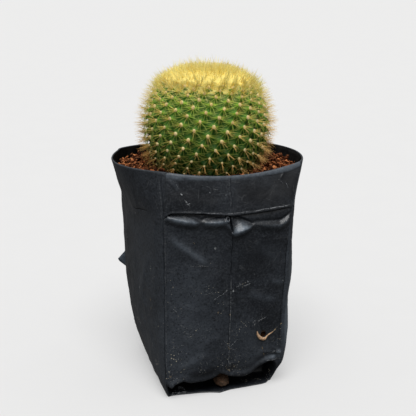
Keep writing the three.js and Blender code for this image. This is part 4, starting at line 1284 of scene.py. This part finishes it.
def stem_point(polar, azimuth, depth):
    """Point of the stem in its own frame, at a depth below the ellipsoid of its areoles."""
    around = STEM_RADIUS * np.sin(polar)
    sink = TOP_SINK * np.exp(-((polar / TOP_SINK_ANGLE) ** 2))
    point = xyz(around * np.cos(azimuth), around * np.sin(azimuth),
                STEM_HALF_HEIGHT * np.cos(polar) - sink)
    return point - stem_normal(polar, azimuth) * np.asarray(depth)[..., None]


def skin_directions(polar, azimuth):
    """Away from the skin, sideways along it and downhill along it."""
    normal = stem_normal(polar, azimuth)
    side = xyz(-np.sin(azimuth), np.cos(azimuth), 0)
    downhill = np.cross(normal, side)
    return normal, side, downhill * np.where(downhill[:, 2:] > 0, -1, 1)


def groove(polar, azimuth):
    """Depth of the skin below the areoles, from 0 on a tubercle to the grooves between."""
    down = np.log(np.tan(np.clip(polar, 0.02, 3.1) / 2)) / STEP_RATE + EQUATOR_STEP
    row = (azimuth - FIRST_AZIMUTH - STEP_AZIMUTH * down) * SPIRAL_ROWS / (2 * math.pi)
    step = down - row * SPIRAL_SHIFT / SPIRAL_ROWS
    between_rows = (1 - np.cos(2 * math.pi * row)) / 2
    between_steps = (1 - np.cos(2 * math.pi * step)) / 2
    both = ROW_GROOVE_DEPTH + SADDLE_DEPTH - GROOVE_DEPTH
    return (ROW_GROOVE_DEPTH * between_rows ** 0.8 + SADDLE_DEPTH * between_steps ** 0.8
            - both * between_rows * between_steps)


def areoles(low, high):
    """Polar angle and azimuth of the areoles between two polar angles."""
    found = []
    for row in range(SPIRAL_ROWS):
        for step in range(-30, 14):
            down = step + row * SPIRAL_SHIFT / SPIRAL_ROWS - EQUATOR_STEP
            polar = 2 * math.atan(math.exp(STEP_RATE * down))
            if low < polar < high:
                found.append((polar, FIRST_AZIMUTH + ROW_AZIMUTH * row + STEP_AZIMUTH * step))
    return np.array(found).T


def stem_mesh():
    polar = np.concatenate([np.linspace(*part, endpoint=False) for part in STEM_ROWS])
    azimuth = np.arange(STEM_COLUMNS) * 2 * math.pi / STEM_COLUMNS
    p, a = np.meshgrid(polar, azimuth, indexing="ij")
    under_crown = 1 - smooth_step(*CROWN_EDGE, p)
    buried = smooth_step(*SOIL_EDGE, p)
    skin = (groove(p, a) * (1 - under_crown) * (1 - buried)
            + CROWN_SKIN_DEPTH * under_crown + BURIED_SKIN_DEPTH * buried)
    surface = stem_point(p, a, skin)
    surface -= stem_normal(p, a) * (0.10 * noise(surface, 1.1, 51))[..., None]
    below = [xyz(r * np.cos(azimuth), r * np.sin(azimuth), z) for r, z in ROOT_NECK]
    points, faces = loft([placed_on_stem(ring) for ring in (*surface, *below)], downward=True)
    # Painted shade: the deeper the skin lies in a groove, the darker it is painted
    shade = np.clip(skin / GROOVE_DEPTH, 0, 1).ravel()
    return points, faces, {"groove": np.pad(shade, (0, len(points) - len(shade)),
                                            constant_values=1)}


def areole_wool_mesh():
    """A small oval cushion of wool on each tubercle."""
    random = seeded(61)
    polar, azimuth = areoles(0.70, SOIL_ANGLE + 0.05)
    count = len(polar)
    normal, side, downhill = skin_directions(polar, azimuth)
    size = straight(AREOLE_SIZES, polar) * random.uniform(0.86, 1.12, count)
    ball, faces = icosphere(3)
    lumps = 1 + 0.16 * noise(ball + random.uniform(-90, 90, (count, 1, 3)), 0.45, 62)
    body = ball * lumps[..., None] * size[:, None, None]
    axes = np.stack([side, downhill, normal], 1) * np.array(AREOLE_SHAPE)[:, None]
    centre = stem_point(polar, azimuth, np.full(count, -0.25))
    points = placed_on_stem((body @ axes + centre[:, None]).reshape(-1, 3))
    return points, copies(faces, len(ball), count)


def needles_mesh(roots, directions, bends, lengths, radii):
    """Three-sided needles that taper and bend, as points and faces, and for each point its
    place along its needle."""
    count = len(roots)
    helper = np.where(np.abs(directions[:, 2:]) < 0.8, [[0, 0, 1]], [[1, 0, 0]])
    side = unit(np.cross(directions, helper))
    other = np.cross(directions, side)
    lengths, radii = lengths[:, None], radii[:, None]
    points, place = [], []
    for share in np.arange(NEEDLE_RINGS) / NEEDLE_RINGS:
        middle = roots + directions * lengths * share + bends * lengths * share ** 2
        for angle in np.arange(3) * 2 * math.pi / 3:
            out = math.cos(angle) * side + math.sin(angle) * other
            points.append(middle + radii * (1 - NEEDLE_TAPER * share) * out)
            place.append(share)
    points.append(roots + (directions + bends) * lengths)
    place.append(1)
    last = 3 * (NEEDLE_RINGS - 1)
    faces = [[2, 1, 0]]
    for ring in range(0, last, 3):
        for corner in range(3):
            a, b = ring + corner, ring + (corner + 1) % 3
            faces += [[a, b, b + 3], [a, b + 3, a + 3]]
    faces += [[last + corner, last + (corner + 1) % 3, last + 3] for corner in range(3)]
    return (np.stack(points, 1).reshape(-1, 3), copies(np.array(faces), len(place), count),
            np.tile(place, count))


def spine_layers(place, random, count, polar, upright):
    """Layers for the colour of needles that stand at polar angles."""
    values = {"young": 1 - smooth_step(0.88, 1.15, polar), "upright": upright,
              "old": 0.6 * smooth_step(1.7, 2.1, polar) * random.random(count),
              "tone": random.random(count)}
    size = len(place) // count
    return {"along": place} | {name: np.repeat(value, size) for name, value in values.items()}


def clusters(random, polar, azimuth, plans):
    """Needles in a cluster at each areole. A plan is (count, bearing from, bearing to, rise
    from, rise to, length from, length to): bearings turn from downhill, rises from the skin."""
    normal, side, downhill = skin_directions(polar, azimuth)
    centre = stem_point(polar, azimuth, np.full(len(polar), 0.35))
    roots, directions, lengths = [], [], []
    for number, low, high, rise_low, rise_high, short, long in plans:
        for k in range(number):
            share = (k + random.uniform(0.1, 0.9, len(polar))) / number
            bearing = np.radians(lerp(low, high, share))[:, None]
            rise = np.radians(random.uniform(rise_low, rise_high, len(polar)))[:, None]
            flat = np.cos(bearing) * downhill + np.sin(bearing) * side
            roots.append(centre + flat * 0.55 * random.uniform(0.3, 1, (len(polar), 1)))
            directions.append(unit(flat * np.cos(rise) + normal * np.sin(rise)))
            lengths.append(random.uniform(short, long, len(polar)))
    return np.concatenate(roots), np.concatenate(directions), np.concatenate(lengths)


BODY_PLANS = [
    (4, -106, -72, 5, 14, 6.0, 9.2), (4, 72, 106, 5, 14, 6.0, 9.2),
    (1, -66, -42, 8, 24, 5.4, 8.4), (1, 42, 66, 8, 24, 5.4, 8.4), (2, -28, 28, 14, 30, 5.6, 8.6),
    (14, -180, 180, 58, 88, 5.6, 9.6),
]
UPRIGHT_NEEDLES = 14  # the last plan's, which are thin
BARE_AZIMUTH = math.radians(-106)


def body_needles_mesh():
    random = seeded(81)
    polar, azimuth = areoles(0.78, SOIL_ANGLE + 0.04)
    roots, directions, lengths = clusters(random, polar, azimuth, BODY_PLANS)
    count = len(roots)
    own, turn = np.tile([polar, azimuth], count // len(polar))
    lengths = lengths * np.interp(own, [1.5, 2.1], [1, 0.8])
    bends = random.uniform(0.02, 0.12, (count, 1)) * [[0, 0, -1.0]]
    bends = bends + random.normal(size=(count, 3)) * 0.045
    upright = np.arange(count) >= count - UPRIGHT_NEEDLES * len(polar)
    radii = random.uniform(0.12, 0.19, count) * np.where(upright, 0.66, 1)
    # Fewer are left low on the front, where the photo's plant is barer than at its sides
    front = smooth_step(0.25, 0.7, np.cos(turn - BARE_AZIMUTH))
    bare = 0.65 * smooth_step(1.35, 1.75, own) * front
    kept = ~upright | (random.random(count) > bare)
    points, faces, place = needles_mesh(roots[kept], directions[kept], bends[kept],
                                        lengths[kept], radii[kept])
    layers = spine_layers(place, random, int(kept.sum()), own[kept], upright[kept])
    return placed_on_stem(points), faces, layers


def crown_needles_mesh():
    """Upright needles on the crown's areoles, which lean outward towards its edge."""
    random = seeded(91)
    polar, azimuth = areoles(CROWN_CENTRE_ANGLE, 0.99)
    turns = np.arange(CROWN_CENTRE_TUFTS)
    centre = CROWN_CENTRE_ANGLE * np.sqrt((turns + 0.5) / CROWN_CENTRE_TUFTS)
    polar = np.repeat(np.concatenate([polar, centre]), CROWN_NEEDLES)
    azimuth = np.concatenate([azimuth, turns * math.pi * (3 - math.sqrt(5))])
    azimuth = np.repeat(azimuth, CROWN_NEEDLES)
    count = len(polar)
    polar = np.abs(polar + random.normal(size=count) * 0.030)
    azimuth = azimuth + random.normal(size=count) * 0.030 / np.sin(polar + 0.05)
    lean = (0.05 + 0.55 * polar + 0.25 * smooth_step(0.8, 1.0, polar))[:, None]
    radial = xyz(np.cos(azimuth), np.sin(azimuth), 0)
    directions = unit([0, 0, 1] + radial * lean + random.normal(size=(count, 3)) * 0.26)
    lengths = straight(CROWN_LENGTHS, polar) * random.uniform(0.85, 1.45, count)
    lengths *= np.where(random.random(count) < 0.10, random.uniform(1.3, 1.9, count), 1)
    bends = random.normal(size=(count, 3)) * 0.05
    radii = random.uniform(0.09, 0.15, count) * (1 + 0.4 * smooth_step(0.6, 0.9, polar))
    roots = stem_point(polar, azimuth, np.full(count, 0.3))
    points, faces, place = needles_mesh(roots, directions, bends, lengths, radii)
    layers = spine_layers(place, random, count, polar, np.zeros(count))
    return placed_on_stem(points), faces, layers


def crown_wool_mesh():
    """Bed of wool and young areoles that fills the sunken top of the stem."""
    azimuth = np.arange(CROWN_COLUMNS) * 2 * math.pi / CROWN_COLUMNS
    p, a = np.meshgrid(np.linspace(*CROWN_ROWS), azimuth, indexing="ij")
    tuft = 1 - groove(p, a) / GROOVE_DEPTH
    edge = smooth_step(*CROWN_RIM, p - 0.06 * tuft)
    over = stem_point(p, a, lerp(-0.5 - 0.9 * tuft, 2.4, edge))
    over += (noise(over, 1.3, 95) * 0.35)[..., None] * stem_normal(p, a)
    under = stem_point(p[::-12], a[::-12], np.full(p[::-12].shape, CROWN_DEPTH))
    return loft([placed_on_stem(ring) for ring in (*over, *under)], downward=True)


def build():
    points, faces, layers, outside, inside = bag_mesh()
    bag = mesh_piece("bag_film", points, faces, film_material(), "bag_film", "grow_bag",
                     layers=layers)
    bag.data.materials.append(two_tone("inner_film_painted_shade"))
    first = COLUMNS * (len(HEIGHTS) + RIM_RINGS)
    last = first + COLUMNS * len(inner_rows())
    for face in bag.data.polygons:
        face.material_index = int(first <= min(face.vertices) < last)

    film = BVHTree.FromPolygons(points.tolist(), faces)
    for name, material, lines, side in (
            ("bag_scratches_and_highlights", scratch_material(), PALE_LINES + EARTH_LINES, FRONT),
            ("bag_crease_shade", crease_material(), DARK_LINES, FRONT),
            ("bag_left_crease_shade", crease_material(), LEFT_LINES, LEFT)):
        points, faces, number = line_ribbons(lines, film, side)
        layers = {"strength": np.array(lines)[number, -1]}
        if name == "bag_scratches_and_highlights":
            layers["earth"] = number >= len(PALE_LINES)
        mesh_piece(name, points, faces, material, "bag_film", layers=layers)
    mesh_piece("bag_flap", *flap_mesh(), two_tone("slate_film"), "bag_film")
    mesh_piece("bag_torn_lip", *tear_mesh(outside[:, COLUMN_SIDES == FRONT]), two_tone("torn_film"),
               "bag_film")

    mesh_piece("soil_bed", *soil_bed_mesh(inside), two_tone("soil_bed_painted_shade"), "soil", "soil_mix")
    points, faces, layers = granules_mesh(inside)
    mesh_piece("soil_granules", points, faces, soil_material(), "soil", smooth=False,
               layers=layers)

    points, faces, layers = stem_mesh()
    mesh_piece("stem_body", points, faces, skin_material(), "stem_skin", "cactus_stem",
               layers=layers)
    mesh_piece("areole_wool", *areole_wool_mesh(), two_tone("areole_wool"), "spines")
    spines = spine_material()
    points, faces, layers = body_needles_mesh()
    mesh_piece("stem_spines", points, faces, spines, "spines", smooth=False, layers=layers)
    mesh_piece("crown_wool", *crown_wool_mesh(), two_tone("crown_wool"), "spines",
               "crown_spines")
    points, faces, layers = crown_needles_mesh()
    mesh_piece("crown_needles", points, faces, spines, "spines", smooth=False, layers=layers)


camera()
studio()
build()
